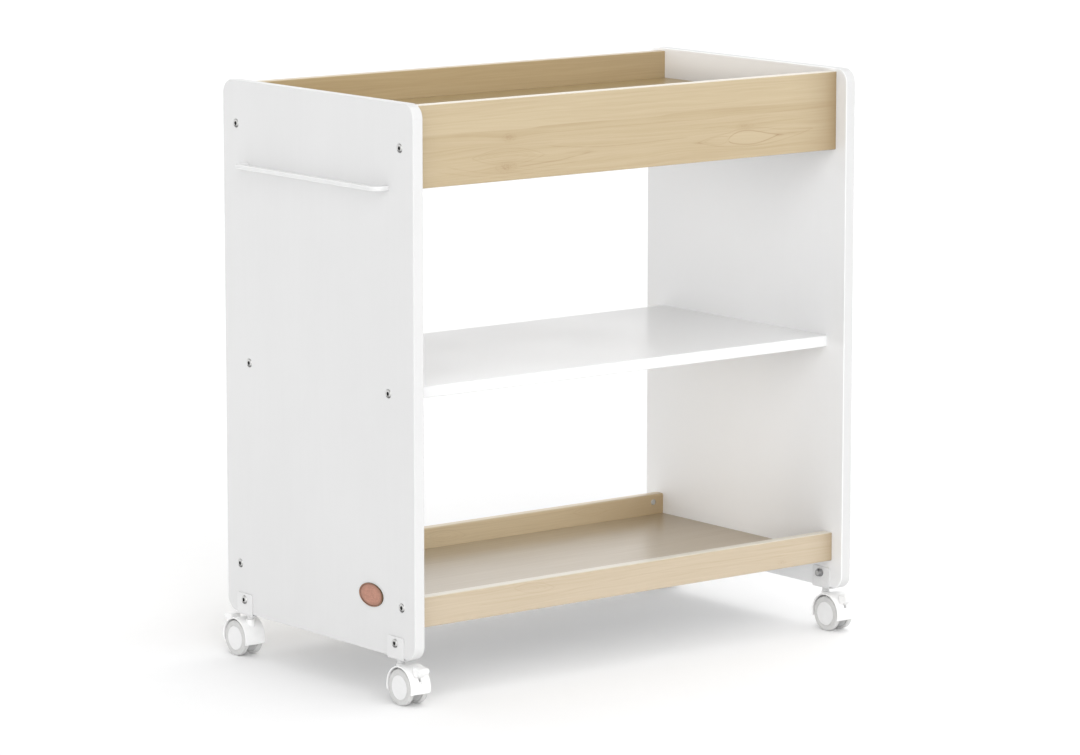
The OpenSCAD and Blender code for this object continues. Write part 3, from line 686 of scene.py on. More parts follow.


# One white lacquer, given a different tone on each board to match how bright each board looks under the lamps: the
# differences between the left panel, the right panel and the shelf are painted light and shade. The right panel's extra
# tones paint light and shade across its inner face and on its edges.
WHITE_PANEL = lacquer("white_lacquer_left", (0.684, 0.684, 0.684), (0.669, 0.669, 0.669), 0.34, 0.0)
WHITE_RIGHT_PAINTED_SHADING = lacquer("white_lacquer_right_painted_shading", (0.785, 0.787, 0.79), (0.77, 0.772, 0.775), 0.34, 9.0, far=(0.90, 0.902, 0.905), rim=(0.64, 0.64, 0.64), high=(0.965, 0.97, 0.975), outer=(0.69, 0.69, 0.69))
WHITE_SHELF = lacquer("white_lacquer_shelf", (0.812, 0.814, 0.817), (0.798, 0.80, 0.803), 0.305, 40.0)
RAIL_WHITE = powder("rail_powder_coat", (0.715, 0.715, 0.715), (0.695, 0.695, 0.695), 0.31, (span("towel_rail")[0][2] + span("towel_rail")[1][2]) / 2)
WHITE_METAL = powder("white_powder_coat", (0.72, 0.72, 0.72), (0.695, 0.695, 0.695), 0.31)
CASTOR_WHITE = moulded("castor_white_plastic", (0.875, 0.875, 0.872), (0.85, 0.85, 0.846), 0.34)
HUB_WHITE = moulded("hub_pale_plastic", (0.80, 0.80, 0.80), (0.775, 0.775, 0.775), 0.42)
TREAD = rubber("grey_tread", (0.615, 0.613, 0.605), (0.565, 0.563, 0.556), 0.55)
NUT_METAL = metal("dark_nuts", (0.38, 0.38, 0.385), (0.27, 0.27, 0.275), 0.36)
COPPER = copper_plate("copper_plate")

# The birch boards' tones are set board by board to how bright each looks under the lamps: partly each board's own tone,
# partly painted light and shade, with the back lip much lighter and the back apron, deck and tray darker.
BIRCH_L, BIRCH_D = (0.508, 0.412, 0.263), (0.397, 0.294, 0.162)
FA, BA, FL, BL = (span(k)[0][2] for k in ("front_apron", "back_apron", "front_lip", "back_lip"))
FA_TOP, FL_TOP = (span(k)[1][2] for k in ("front_apron", "front_lip"))


def centre_y(node):
    lo, hi = span(node)
    return (lo[1] + hi[1]) / 2


# Below, each right= paints shade towards the board's right end next to the right panel, and the top-edge height paints
# a highlight along the top edge.
APRON_FRONT = wood(
    "birch_front_apron", BIRCH_L, BIRCH_D, False, FA, 3.0, painted_highlight_top_z=FA_TOP, right=(748.0, 850.0, 0.72),
    seam=[(0, 77.5), (120, 78.9), (208, 77.8), (250, 80), (330, 80.3), (450, 78.8), (506, 81.5), (600, 83), (695, 81.6), (850, 79.5)],
    features=[
        ("knot", 182.5, 66.6, 5.5, 2.6, 4.0, 0.40), ("knot", 176.3, 21.1, 8.0, 3.4, -9.0, 0.46), ("knot", 656.4, 51.8, 7.0, 2.2, 5.0, 0.26),
        ("swell", 181.0, 37.0, 60.0, 10.0, 0.6), ("swell", 668.0, 33.0, 60.0, 10.0, 0.6), ("swell", 300.0, 36.0, 60.0, 9.0, 0.35),
        ("lens", 181.4, 37.3, 71.0, 12.6, -0.022, 0.8, 0.20), ("lens", 180.0, 38.0, 56.0, 9.8, -0.022, 0.7, 0.13),
        ("lens", 178.0, 38.4, 41.0, 6.9, -0.022, 0.7, 0.11), ("lens", 176.0, 38.8, 25.0, 3.8, -0.022, 0.7, 0.09),
        ("line", [(196, 20), (214.9, 20.9), (233.5, 21.9), (258.3, 23.4), (283.3, 25.2), (314.7, 29.0), (345, 33.0)], 0.9, 0.34),
        ("line", [(252, 49.5), (264.6, 47.7), (295.8, 44.2), (327.3, 41.7), (368.4, 39.9), (406.6, 39.2), (470, 40.2), (540, 42)], 0.8, 0.28),
        ("line", [(290, 34.5), (318, 34.6), (348, 34.2)], 1.6, 0.13), ("smudge", 338.0, 33.2, 9.0, 1.5, 0.16),
        ("line", [(60, 30), (100, 21.5), (140, 15.0), (176, 12.2), (214, 14.0), (262, 17.5), (320, 20)], 0.8, 0.20),
        ("line", [(40, 24), (96, 14.5), (140, 9.0), (178, 7.0), (226, 9.0), (300, 12)], 0.8, 0.16),
        ("line", [(20, 46), (70, 50.5), (130, 53.5), (186, 55.2), (240, 53), (300, 50)], 0.8, 0.14),
        ("leaf", [(622.2, 32.3), (627.9, 37.2), (637.4, 41.4), (648.5, 43.7), (662.7, 43.9), (681.8, 41.4), (704.1, 36.9), (727.5, 33.1)],
         [(622.2, 32.3), (624.8, 28.2), (634.2, 25.1), (650.1, 22.9), (669.1, 21.9), (685.0, 22.9), (704.1, 26.7), (727.5, 33.1)], 0.85, 0.42, 0.45),
        ("leaf", [(558.9, 31.3), (571.4, 34.5), (590.2, 38.5), (605.9, 40.7), (624.8, 43.2), (650.0, 47.2), (690.0, 46.5), (740.0, 40.5), (800.0, 38.5)],
         [(558.9, 31.3), (571.4, 28.5), (590.2, 24.9), (612.2, 21.4), (631.1, 19.9), (660.0, 18.3), (700.0, 20.2), (745.0, 26.0), (800.0, 38.5)], 0.8, 0.20, 0.0),
        ("leaf", [(572, 31.4), (583.9, 35.3), (599.6, 37.9), (612.0, 38.2), (621.0, 36.0)], [(572, 31.4), (583.9, 28.3), (599.6, 25.9), (612.0, 26.4), (621.0, 36.0)], 0.8, 0.15, 0.0),
        ("smudge", 729.0, 33.0, 6.0, 1.3, 0.42), ("smudge", 752.0, 33.6, 15.0, 1.0, 0.22), ("smudge", 561.0, 31.3, 8.0, 1.4, 0.26),
        ("line", [(560, 52), (620, 54.5), (680, 54.5), (740, 50), (820, 47)], 0.8, 0.14), ("line", [(540, 17), (600, 14), (670, 13), (740, 15.5), (830, 19)], 0.8, 0.14),
    ],
)
APRON_BACK = wood("birch_back_apron", (0.502, 0.392, 0.228), (0.386, 0.281, 0.146), False, BA, 21.0, line=0.35, band=0.8, right=(250.0, 1150.0, 0.75, centre_y("back_apron")))
LIP_FRONT = wood(
    "birch_front_lip", (0.556, 0.466, 0.348), (0.449, 0.359, 0.237), False, FL, 8.0, line=0.5, painted_highlight_top_z=FL_TOP, right=(790.0, 850.0, 0.6), features=[
        ("knot", 741.5, 11.4, 3.5, 1.8, 3.0, 0.30), ("swell", 231.0, 35.0, 40.0, 8.0, 0.5),
        ("lens", 231.5, 35.0, 40.0, 8.0, -0.10, 0.8, 0.16), ("lens", 229.0, 35.0, 27.0, 5.0, -0.10, 0.7, 0.12), ("lens", 226.0, 35.2, 14.0, 2.4, -0.10, 0.7, 0.10),
        ("line", [(120, 22), (190, 20), (250, 19), (330, 24), (420, 27)], 0.8, 0.14), ("line", [(440, 30), (540, 24), (640, 20), (760, 23)], 0.8, 0.14),
        ("line", [(470, 38), (560, 32), (660, 29), (790, 33)], 0.8, 0.11),
    ],
)
LIP_BACK = wood(
    "birch_back_lip", (0.716, 0.596, 0.407), (0.583, 0.462, 0.29), False, BL, 14.0, line=0.5, right=(384.0, 875.0, 0.95, centre_y("back_lip")), features=[
        ("swell", 690.0, 34.0, 36.0, 8.0, 0.5), ("swell", 383.0, 30.0, 44.0, 9.0, 0.5),
        ("lens", 690.0, 34.5, 37.0, 7.5, -0.06, 0.8, 0.15), ("lens", 688.0, 34.5, 22.0, 4.2, -0.06, 0.7, 0.12),
        ("lens", 383.0, 30.5, 44.0, 9.5, -0.08, 0.8, 0.17), ("lens", 381.0, 30.5, 30.0, 6.2, -0.08, 0.7, 0.13), ("lens", 379.0, 30.5, 16.0, 3.0, -0.08, 0.7, 0.10),
        ("line", [(200, 18), (300, 15), (400, 13), (520, 19), (640, 21)], 0.8, 0.14),
    ],
)
DECK = wood("birch_deck", (0.352, 0.258, 0.125), (0.285, 0.195, 0.08), True, 43.9, 31.0, period=12.0, line=0.4, rough=0.3, coat=0.12)
TRAY = wood("birch_tray", (0.476, 0.387, 0.265), (0.390, 0.304, 0.190), True, 43.5, 37.0, period=14.0, line=0.4, rough=0.3, coat=0.5, right=(500.0, 860.0, 0.63))
PLAIN = wood("bare_hardwood", (0.66, 0.52, 0.33), (0.52, 0.38, 0.21), False, 0.0, 51.0, line=0.5, rough=0.55, coat=0.0)


# ---------------------------------------------------------------- boards

def centre(node):
    lo, hi = span(node)
    return (lo + hi) / 2


FRONT_Y = centre("front_apron")[1]
BACK_Y = centre("back_apron")[1]
APRON_Z = centre("front_apron")[2]
SHELF_LO, SHELF_HI = span("middle_shelf")
SHELF_Z = (SHELF_LO[2] + SHELF_HI[2]) / 2
LIP_LO, LIP_HI = span("front_lip")
LIP_BOLT_Z = LIP_LO[2] + 34.3
LIP_DOWEL_Z = LIP_LO[2] + 13.0
RAIL_LO, RAIL_HI = span("towel_rail")
RAIL_Z = (RAIL_LO[2] + RAIL_HI[2]) / 2
RAIL_W = 9.6
SHELF_BOLT_Y = (RAIL_LO[1] + RAIL_W / 2, RAIL_HI[1] - RAIL_W / 2)
DECK_LO, DECK_HI = span("changing_deck")
TRAY_LO, TRAY_HI = span("tray_board")
TRAY_Z = (TRAY_LO[2] + TRAY_HI[2]) / 2
NUT_X = INNER_L + 21.5
CASTOR_Y = (centre("front_left_stem")[1], centre("rear_left_stem")[1])
CASTOR_BOLT_Z = centre("castor_nuts")[2]
INNER_SPAN = INNER_R - INNER_L
ROW_X = [INNER_L + INNER_SPAN * (i + 0.5) / 4 for i in range(4)]
DOWEL_Z = (APRON_Z - 42, APRON_Z + 42, LIP_DOWEL_Z)
BOLT_METAL = plated_bolts(
    "nickel_bolts", (0.64, 0.64, 0.63), (0.54, 0.54, 0.53), 0.32,
    [(y, z) for z in (APRON_Z, LIP_BOLT_Z) for y in (FRONT_Y, BACK_Y)] + [(y, SHELF_Z) for y in SHELF_BOLT_Y] + [(y, CASTOR_BOLT_Z) for y in CASTOR_Y],
)


def panel(left):
    place = (lambda a, b, w: (w, a, b)) if left else (lambda a, b, w: (CABINET_W - w, a, b))
    t = PANEL_T
    holes = []
    bolts = [(y, z) for z in (APRON_Z, LIP_BOLT_Z) for y in (FRONT_Y, BACK_Y)] + [(y, SHELF_Z) for y in SHELF_BOLT_Y]
    for c in bolts:
        holes.append((lambda r, c=c: circle(c, r, 40), [(7.3, 0), (7.15, 0.15), (7.15, 1.2), (3.3, 1.2), (3.3, t - 0.2), (3.5, t)]))
    for y in (FRONT_Y, BACK_Y):
        for z in DOWEL_Z:
            holes.append((lambda r, c=(y, z): circle(c, r, 24), [(4.3, t), (4.05, t - 0.25), (4.05, t - 12.5)]))
    for y in CASTOR_Y:
        holes.append((lambda r, c=(y, CASTOR_BOLT_Z): circle(c, r, 24), [(4.2, 0), (4.2, t)]))
    if left:
        for y in SHELF_BOLT_Y:
            holes.append((lambda r, c=(y, RAIL_Z): circle(c, r, 20), [(2.2, 0), (2.2, t)]))
    return plate(lambda d: rrect(0, 0, PANEL_D, PANEL_H, 23, 14, d), t, 1.9, place, holes, 5)


piece("left_panel_skin", panel(True), WHITE_PANEL, "white_board", "cabinet", "left_panel")
piece("right_panel_skin", panel(False), WHITE_RIGHT_PAINTED_SHADING, "white_board", "cabinet", "right_panel")


def hole(c, prof, n=24):
    return (lambda r: circle(c, r, n), prof)


END_BOLT = [(3.5, 0), (3.3, 0.2), (3.3, 15.5)]
END_DOWEL = [(4.3, 0), (4.05, 0.25), (4.05, 18.5)]
NUT_BORE = [(5.25, 0), (5.05, 0.2), (5.05, 14.5)]


def upright(node, bolt_z, dowels, back, r, tray):
    lo, hi = span(node)
    y = (lo[1] + hi[1]) / 2
    ends = [hole((y, bolt_z), END_BOLT)] + [hole((y, z), END_DOWEL) for z in dowels]
    inner = [hole((x, bolt_z), NUT_BORE, 32) for x in (NUT_X, CABINET_W - NUT_X)]
    if tray:
        inner += [hole((x, TRAY_Z), [(4.2, 0), (4.05, 0.2), (4.05, 12.5)]) for x in ROW_X]
    else:
        inner += [hole((x, DECK_LO[2] - 9), [(2.05, 0), (2.05, 12.3)], 16) for x in ROW_X]
    return board(lo, hi, r, 0.35, {"-x": ends, "+x": ends, ("-y" if back else "+y"): inner})


# edge radii: +y low, +y top, -y top, -y low
piece("front_apron_skin", upright("front_apron", APRON_Z, DOWEL_Z[:2], False, 1.8, False), APRON_FRONT, "solid_wood", "cabinet", "front_apron")
piece("back_apron_skin", upright("back_apron", APRON_Z, DOWEL_Z[:2], True, 1.8, False), APRON_BACK, "solid_wood", "cabinet", "back_apron")
piece("front_lip_skin", upright("front_lip", LIP_BOLT_Z, DOWEL_Z[2:], False, (1.2, 2.0, 2.5, 2.5), True), LIP_FRONT, "solid_wood", "cabinet", "front_lip")
piece("back_lip_skin", upright("back_lip", LIP_BOLT_Z, DOWEL_Z[2:], True, (2.5, 2.5, 3.0, 1.2), True), LIP_BACK, "solid_wood", "cabinet", "back_lip")

piece("changing_deck_skin", board(DECK_LO, DECK_HI, 0.8, 0.4), DECK, "veneered_board", "cabinet", "changing_deck", under=WHITE_SHELF)
tray_holes = {
    "-y": [hole((x, TRAY_Z), [(4.2, 0), (4.05, 0.2), (4.05, 18.0)]) for x in ROW_X],
    "+y": [hole((x, TRAY_Z), [(4.2, 0), (4.05, 0.2), (4.05, 18.0)]) for x in ROW_X],
}
piece("tray_board_skin", board(TRAY_LO, TRAY_HI, 0.6, 0.3, tray_holes), TRAY, "veneered_board", "cabinet", "tray_board", under=WHITE_SHELF)
shelf_holes = {
    "-x": [hole((y, SHELF_Z), END_BOLT) for y in SHELF_BOLT_Y], "+x": [hole((y, SHELF_Z), END_BOLT) for y in SHELF_BOLT_Y],
    "-z": [hole((x, y), NUT_BORE, 32) for x in (NUT_X, CABINET_W - NUT_X) for y in SHELF_BOLT_Y],
}
piece("middle_shelf_skin", board(SHELF_LO, SHELF_HI, 1.9, 0.3, shelf_holes), WHITE_SHELF, "white_shelf", "cabinet", "middle_shelf")


# ---------------------------------------------------------------- cleats, dowels, screws

C_LO, C_HI = span("deck_cleats")
cleats = Shape()
for y0, y1, inner in ((C_LO[1], C_LO[1] + 18, "+y"), (C_HI[1] - 18, C_HI[1], "-y")):
    outer = "-y" if inner == "+y" else "+y"
    z = (C_LO[2] + C_HI[2]) / 2
    cleats.add(board(
        (C_LO[0], y0, C_LO[2]), (C_HI[0], y1, C_HI[2]), 1.2, 0.5,
        {inner: [hole((x, z), [(4.5, 0), (4.3, 0.2), (4.3, 2.6), (2.2, 2.6), (2.2, 9.0)], 20) for x in ROW_X],
         outer: [hole((x, z), [(2.3, 0), (2.2, 0.1), (2.2, 8.0)], 20) for x in ROW_X]},
    ))
piece("deck_cleats_skin", cleats, PLAIN, "plain_wood", "cabinet", "deck_cleats")


def dowel():
    """A fluted, chamfered dowel along X, from x = 0 to x = 30."""
    S, n, loops = Shape(), 48, []
    for x, r in ((0, 3.1), (1.3, 3.98), (28.7, 3.98), (30, 3.1)):
        loops.append(S.loop([(x, (r - (0.22 if k % 4 in (0, 1) and 1 < x < 29 else 0)) * math.cos(2 * math.pi * k / n), (r - (0.22 if k % 4 in (0, 1) and 1 < x < 29 else 0)) * math.sin(2 * math.pi * k / n)) for k in range(n)]))
    S.chain(loops)
    S.lid(loops[0])
    S.lid(loops[-1])
    return S


def turned(S, frm, axis):
    """A mover that lays a shape made along +X at frm, along axis (+x, -x, +y, -y or +z)."""
    f = np.array(frm, float)
    turn = {"+x": lambda q: (q[0], q[1], q[2]), "-x": lambda q: (-q[0], q[1], q[2]), "+y": lambda q: (q[1], q[0], q[2]), "-y": lambda q: (q[1], -q[0], q[2]), "+z": lambda q: (q[1], q[2], q[0])}[axis]
    return S, lambda q: np.array(turn(q)) + f


DOWEL = dowel()
dowels = Shape()
for y in (FRONT_Y, BACK_Y):
    for z in DOWEL_Z:
        dowels.add(*turned(DOWEL, (PANEL_T - 12, y, z), "+x"))
        dowels.add(*turned(DOWEL, (CABINET_W - PANEL_T + 12, y, z), "-x"))
for x in ROW_X:
    dowels.add(*turned(DOWEL, (x, TRAY_LO[1] - 12, TRAY_Z), "+y"))
    dowels.add(*turned(DOWEL, (x, TRAY_HI[1] + 12, TRAY_Z), "-y"))
piece("wooden_dowels_skin", dowels, PLAIN, "plain_wood", "cabinet", "wooden_dowels", smooth=25)


def slotted(base, length, width, depth, face, cross=False, along="y"):
    """A turned shape whose end at x = face has a slot or a cross cut into it."""
    cuts = []
    for turn in ((0, 1) if cross else (0,)):
        a, b = (length / 2, width / 2) if (along == "y") != bool(turn) else (width / 2, length / 2)
        box = plate(lambda d, a=a, b=b: rrect(-a, -b, a, b, 0.25, 2, d), depth + 1, 0.1, lambda p, q, w: (face + (w - 1 if depth > 0 else 1 - w), p, q), (), 1)
        cuts.append(("DIFFERENCE", box))
    return combine(base, cuts)


thread = []
for k in range(8):
    thread += [(1.95, 3.0 + 1.0 * k), (1.6, 3.4 + 1.0 * k)]
SCREW = lathe([(1.2, 28.5)] + [(r, 28.5 - (x - 3.0) * 1.1 - 0.4) for r, x in thread] + [(1.9, 12.0), (1.9, 2.3), (3.95, 2.3), (3.98, 1.7), (3.6, 0.9), (2.6, 0.25), (1.2, 0.0)], 28)
SCREW = slotted(SCREW, 4.0, 0.9, 1.2, 0.0, cross=True)
cs = Shape()
CS_LO, CS_HI = span("cleat_screws")
for x in ROW_X:
    z = (CS_LO[2] + CS_HI[2]) / 2
    reach = (C_LO[1] + 18 - 0.2) - CS_LO[1]
    cs.add(*turned(SCREW, (x, C_LO[1] + 18 - 0.2, z), "-y"))
    cs.add(*turned(SCREW, (x, C_HI[1] - 18 + 0.2, z), "+y"))
piece("cleat_screws_skin", cs, BOLT_METAL, "bolt_steel", "cabinet", "cleat_screws", smooth=30)

RS_LO, RS_HI = span("rail_screws")
LONG = lathe([(1.3, 34.0), (1.9, 33.4), (1.9, 2.9), (3.95, 2.9), (3.98, 2.3), (3.6, 1.3), (2.6, 0.4), (1.2, 0.0)], 28)
LONG = slotted(LONG, 4.4, 0.9, 1.3, 0.0, cross=True)
rs = Shape()
for y in SHELF_BOLT_Y:
    rs.add(*turned(LONG, (RS_HI[0], y, RAIL_Z), "-x"))
piece("rail_screws_skin", rs, BOLT_METAL, "bolt_steel", "cabinet", "rail_screws", smooth=30)


# ---------------------------------------------------------------- bolts and nuts

def cap_bolt(r, proud, under, end, socket, shank):
    """Domed cap bolt along +X: head from x = -proud to x = under, hexagon socket, plain shank with a thread at its end."""
    h = proud + under
    prof = [(socket, -proud + min(2.2, h - 0.1), 99), (socket, -proud + 0.45, 99)]
    prof += [(socket + 0.25, -proud + 0.12), (socket + 0.75, -proud)]
    prof += [(socket + 1.5, -proud + 0.02)]
    steps = 6
    for k in range(1, steps + 1):
        q = k / steps
        prof.append((socket + 1.5 + (r - 0.25 - socket - 1.5) * math.sin(q * math.pi / 2), -proud + 0.02 + (h * 0.62) * (1 - math.cos(q * math.pi / 2))))
    prof += [(r, under - h * 0.28), (r, under - 0.15), (r - 0.15, under), (shank, under)]
    x = end - 12
    prof.append((shank, x))
    while x < end - 1.4:
        prof += [(shank - 0.42, x + 0.45), (shank - 0.42, x + 0.6), (shank, x + 1.0), (shank, x + 1.15)]
        x += 1.15
    prof += [(shank - 0.8, end)]
    return lathe(prof, 48)


BOLT = cap_bolt(7.0, 1.0, 1.2, PANEL_T + 29.5, 2.9, 2.95)


def bolt_row(name, node, pts):
    S = Shape()
    for y, z in pts:
        S.add(*turned(BOLT, (0, y, z), "+x"))
        S.add(*turned(BOLT, (CABINET_W, y, z), "-x"))
    piece(name, S, BOLT_METAL, "bolt_steel", "cabinet", node, smooth=42)


bolt_row("apron_bolts_skin", "apron_bolts", [(FRONT_Y, APRON_Z), (BACK_Y, APRON_Z)])
bolt_row("lip_bolts_skin", "lip_bolts", [(FRONT_Y, LIP_BOLT_Z), (BACK_Y, LIP_BOLT_Z)])
bolt_row("shelf_bolts_skin", "shelf_bolts", [(y, SHELF_Z) for y in SHELF_BOLT_Y])

BARREL = slotted(lathe([(4.4, 0.0), (4.75, 0.12), (4.98, 0.45), (4.98, 13.6), (4.6, 14.0)], 40), 12.0, 1.4, 1.2, 0.0)
for kind, z in (("apron", APRON_Z), ("lip", LIP_BOLT_Z)):
    S = Shape()
    front_in, back_in = span("front_apron")[1][1], span("back_apron")[0][1]
    for x in (NUT_X, CABINET_W - NUT_X):
        S.add(*turned(BARREL, (x, front_in, z), "-y"))
        S.add(*turned(BARREL, (x, back_in, z), "+y"))
    piece(kind + "_barrel_nuts_skin", S, BOLT_METAL, "bolt_steel", "cabinet", kind + "_barrel_nuts", smooth=42)
S = Shape()
for x in (NUT_X, CABINET_W - NUT_X):
    for y in SHELF_BOLT_Y:
        S.add(*turned(BARREL, (x, y, SHELF_LO[2]), "+z"))
piece("shelf_barrel_nuts_skin", S, BOLT_METAL, "bolt_steel", "cabinet", "shelf_barrel_nuts", smooth=42)

B_LO, B_HI = span("front_left_bracket")
PROUD = -B_LO[0]                      # outer face of the bracket's plate beyond the panel
CB_LO, CB_HI = span("castor_bolts")
CN_LO, CN_HI = span("castor_nuts")
C_BOLT = cap_bolt(7.0, 2.2, 0.0, PANEL_T + 2 * PROUD + 8.6, 3.1, 3.95)
prof = [(4.05, 0.05), (5.2, 0.0), (6.9, 0.0, 6.2), (6.9, 0.7, 99), (6.9, 5.3, 99), (6.9, 6.0, 6.1), (5.45, 6.05), (5.4, 7.4)]
prof += arc(4.7, 7.35, 0.7, 0, 90, 4)[1:] + [(4.3, 8.0), (4.05, 7.8)]
C_NUT = lathe(prof, 48, ring=True)
bolts, nuts = Shape(), Shape()
for y in CASTOR_Y:
    for side, x in (("+x", -PROUD), ("-x", CABINET_W + PROUD)):
        bolts.add(*turned(C_BOLT, (x, y, CASTOR_BOLT_Z), side))
    for side, x in (("+x", PANEL_T + PROUD + 0.05), ("-x", CABINET_W - PANEL_T - PROUD - 0.05)):
        nuts.add(*turned(C_NUT, (x, y, CASTOR_BOLT_Z), side))
piece("castor_bolts_skin", bolts, BOLT_METAL, "bolt_steel", "cabinet", "castor_bolts", smooth=42)
piece("castor_nuts_skin", nuts, NUT_METAL, "dark_steel", "cabinet", "castor_nuts", smooth=32)


# ---------------------------------------------------------------- towel rail

def rail():
    """One bar of rounded oblong section, bent twice, with its two feet on the panel."""
    S, loops = Shape(), []
    w, h = RAIL_W, RAIL_HI[2] - RAIL_LO[2]
    bend, out = 12.0, -RAIL_LO[0] - w / 2
    leg = out - bend
    y0, y1 = SHELF_BOLT_Y
    sec = rrect(-w / 2, -h / 2, w / 2, h / 2, 2.4, 6)

    def ring(x, y, nx, ny, d=0.0):
        loops.append(S.loop([(x + nx * a, y + ny * a, RAIL_Z + b) for a, b in rrect(-w / 2, -h / 2, w / 2, h / 2, 2.4, 6, d)]))

    ring(0.0, y0, 0, -1, 0.3)
    ring(-0.3, y0, 0, -1)
    for k in range(15):
        t = math.pi / 2 * k / 14
        ring(-leg - bend * math.sin(t), y0 + bend * (1 - math.cos(t)), -math.sin(t), -math.cos(t))
    for k in range(15):
        t = math.pi / 2 * k / 14
        ring(-leg - bend * math.cos(t), y1 - bend * (1 - math.sin(t)), -math.cos(t), math.sin(t))
    ring(-0.3, y1, 0, 1)
    ring(0.0, y1, 0, 1, 0.3)
    S.chain(loops)
    S.lid(loops[0])
    S.lid(loops[-1])
    return S


piece("towel_rail_skin", rail(), RAIL_WHITE, "white_metal", "cabinet", "towel_rail", smooth=50)


# ---------------------------------------------------------------- oval plate

def oval_plate():
    lo, hi = span("badge_plate")
    cy, cz, a, b = (lo[1] + hi[1]) / 2, (lo[2] + hi[2]) / 2, (hi[1] - lo[1]) / 2, (hi[2] - lo[2]) / 2
    n, S = 120, Shape()
    steps = [(0.15, 0.0), (0.0, 0.15), (0.0, 1.45)]
    steps += [(0.55 - 0.55 * math.cos(t), 1.45 + 0.55 * math.sin(t)) for t in (math.pi / 10 * k for k in range(1, 6))]
    steps += [(1.15, 1.98), (1.6, 1.8), (1.95, 1.42), (2.2, 1.2), (2.7, 1.1), (3.4, 1.16), (4.2, 1.3), (5.2, 1.36), (8.0, 1.42), (12.0, 1.48), (16.0, 1.5)]
    loops = [S.loop([(-w, cy + (a - d) * math.cos(2 * math.pi * k / n), cz + (b - d) * math.sin(2 * math.pi * k / n)) for k in range(n)]) for d, w in steps]
    S.chain(loops)
    S.lid(loops[0])
    S.lid(loops[-1])
    return S


piece("oval_plate_skin", oval_plate(), COPPER, "copper", "cabinet", "badge_plate", smooth=60)


# ---------------------------------------------------------------- castors

TRAIL = 19.0
A_LO, A_HI = span("front_left_outer_tyre")
WHEEL_R = (A_HI[2] - A_LO[2]) / 2
AXLE_Z = (A_HI[2] + A_LO[2]) / 2
H_LO, H_HI = span("front_left_hood")
HOOD_W = H_HI[0] - H_LO[0]
HOOD_RO, HOOD_RI, HOOD_UP = 32.5, 30.3, 1.0
WHEEL_IN, WHEEL_OUT = 8.8, HOOD_W / 2 - 0.6
HUB_R = 19.5


def saddle():
    """Bent sheet bracket over the panel's lower edge, centred at the stem; z = 0 is the panel's bottom."""
    t, mid, bend = 1.7, PANEL_T / 2 + PROUD - 0.85, 2.1
    low = B_LO[2]
    flat = mid - bend
    up = low + t / 2 + bend
    quarter = math.pi / 2 * bend
    half = flat + quarter + (B_HI[2] - up)
    w2 = (B_HI[1] - B_LO[1]) / 2

    def place(s, b, w):
        e, g = t / 2 - w, abs(s)
        sign = 1 if s >= 0 else -1
        if g <= flat:
            return (s, b, low + t / 2 - e)
        if g <= flat + quarter:
            f = (g - flat) / bend
            return (sign * (flat + (bend + e) * math.sin(f)), b, up - (bend + e) * math.cos(f))
        return (sign * (mid + e), b, up + (g - flat - quarter))

    lines = sorted({sg * (flat + quarter * k / 7) for sg in (-1, 1) for k in range(8)} | {sg * (flat + quarter + 4) for sg in (-1, 1)})
    extra = [(s, b) for s in lines for b in (-17.0, -12.0, -6.0, 0.0, 6.0, 12.0, 17.0)]
    at = flat + quarter + (CASTOR_BOLT_Z - up)
    holes = [hole((sg * at, 0), [(4.3, 0), (4.2, 0.1), (4.2, t - 0.1), (4.3, t)]) for sg in (-1, 1)]
    holes.append(hole((0, 0), [(4.05, 0), (4.05, t)]))
    return plate(lambda d: rrect(-half, -w2, half, w2, 4.5, 7, d, lines), t, 0.45, place, holes, 3, extra)


SADDLE = saddle()


def stem():
    """Turned stem in the castor's frame: shoulder under the bracket, groove, and the journal down into the hood."""
    top = -AXLE_Z            # the panel's bottom above the axle
    z0 = top - 3.0           # underside of the bracket
    prof = [(3.9, z0 + 1.9), (3.96, z0 + 1.7), (3.96, z0), (5.6, z0), (5.75, z0 - 0.2), (5.75, z0 - 3.2), (5.3, z0 - 3.5), (5.3, z0 - 4.1), (5.75, z0 - 4.4)]
    prof += [(5.75, z0 - 6.6), (5.3, z0 - 7.05), (3.5, z0 - 7.1), (3.5, 20.0), (3.1, 19.4)]
    return lathe(prof, 40)


STEM = stem()


def sweep_outline(reach, gap):
    def rot(a, p):
        a = math.radians(a)
        return (p[0] * math.cos(a) - p[1] * math.sin(a), p[0] * math.sin(a) + p[1] * math.cos(a))
    return [rot(22, (0, -3.4 - gap)), rot(22, (reach, -3.4 - gap)), rot(30, (reach * 1.05, 0)), rot(38, (reach, 3.4 + gap)), rot(38, (0, 3.4 + gap))]


def prism(outline, x0, x1, r, segs=3, holes=()):
    """An outline drawn in (y, z), from x0 to x1."""
    return plate(lambda d: inset(outline, d), x1 - x0, r, lambda a, b, w: (x0 + w, a, b), holes, segs)


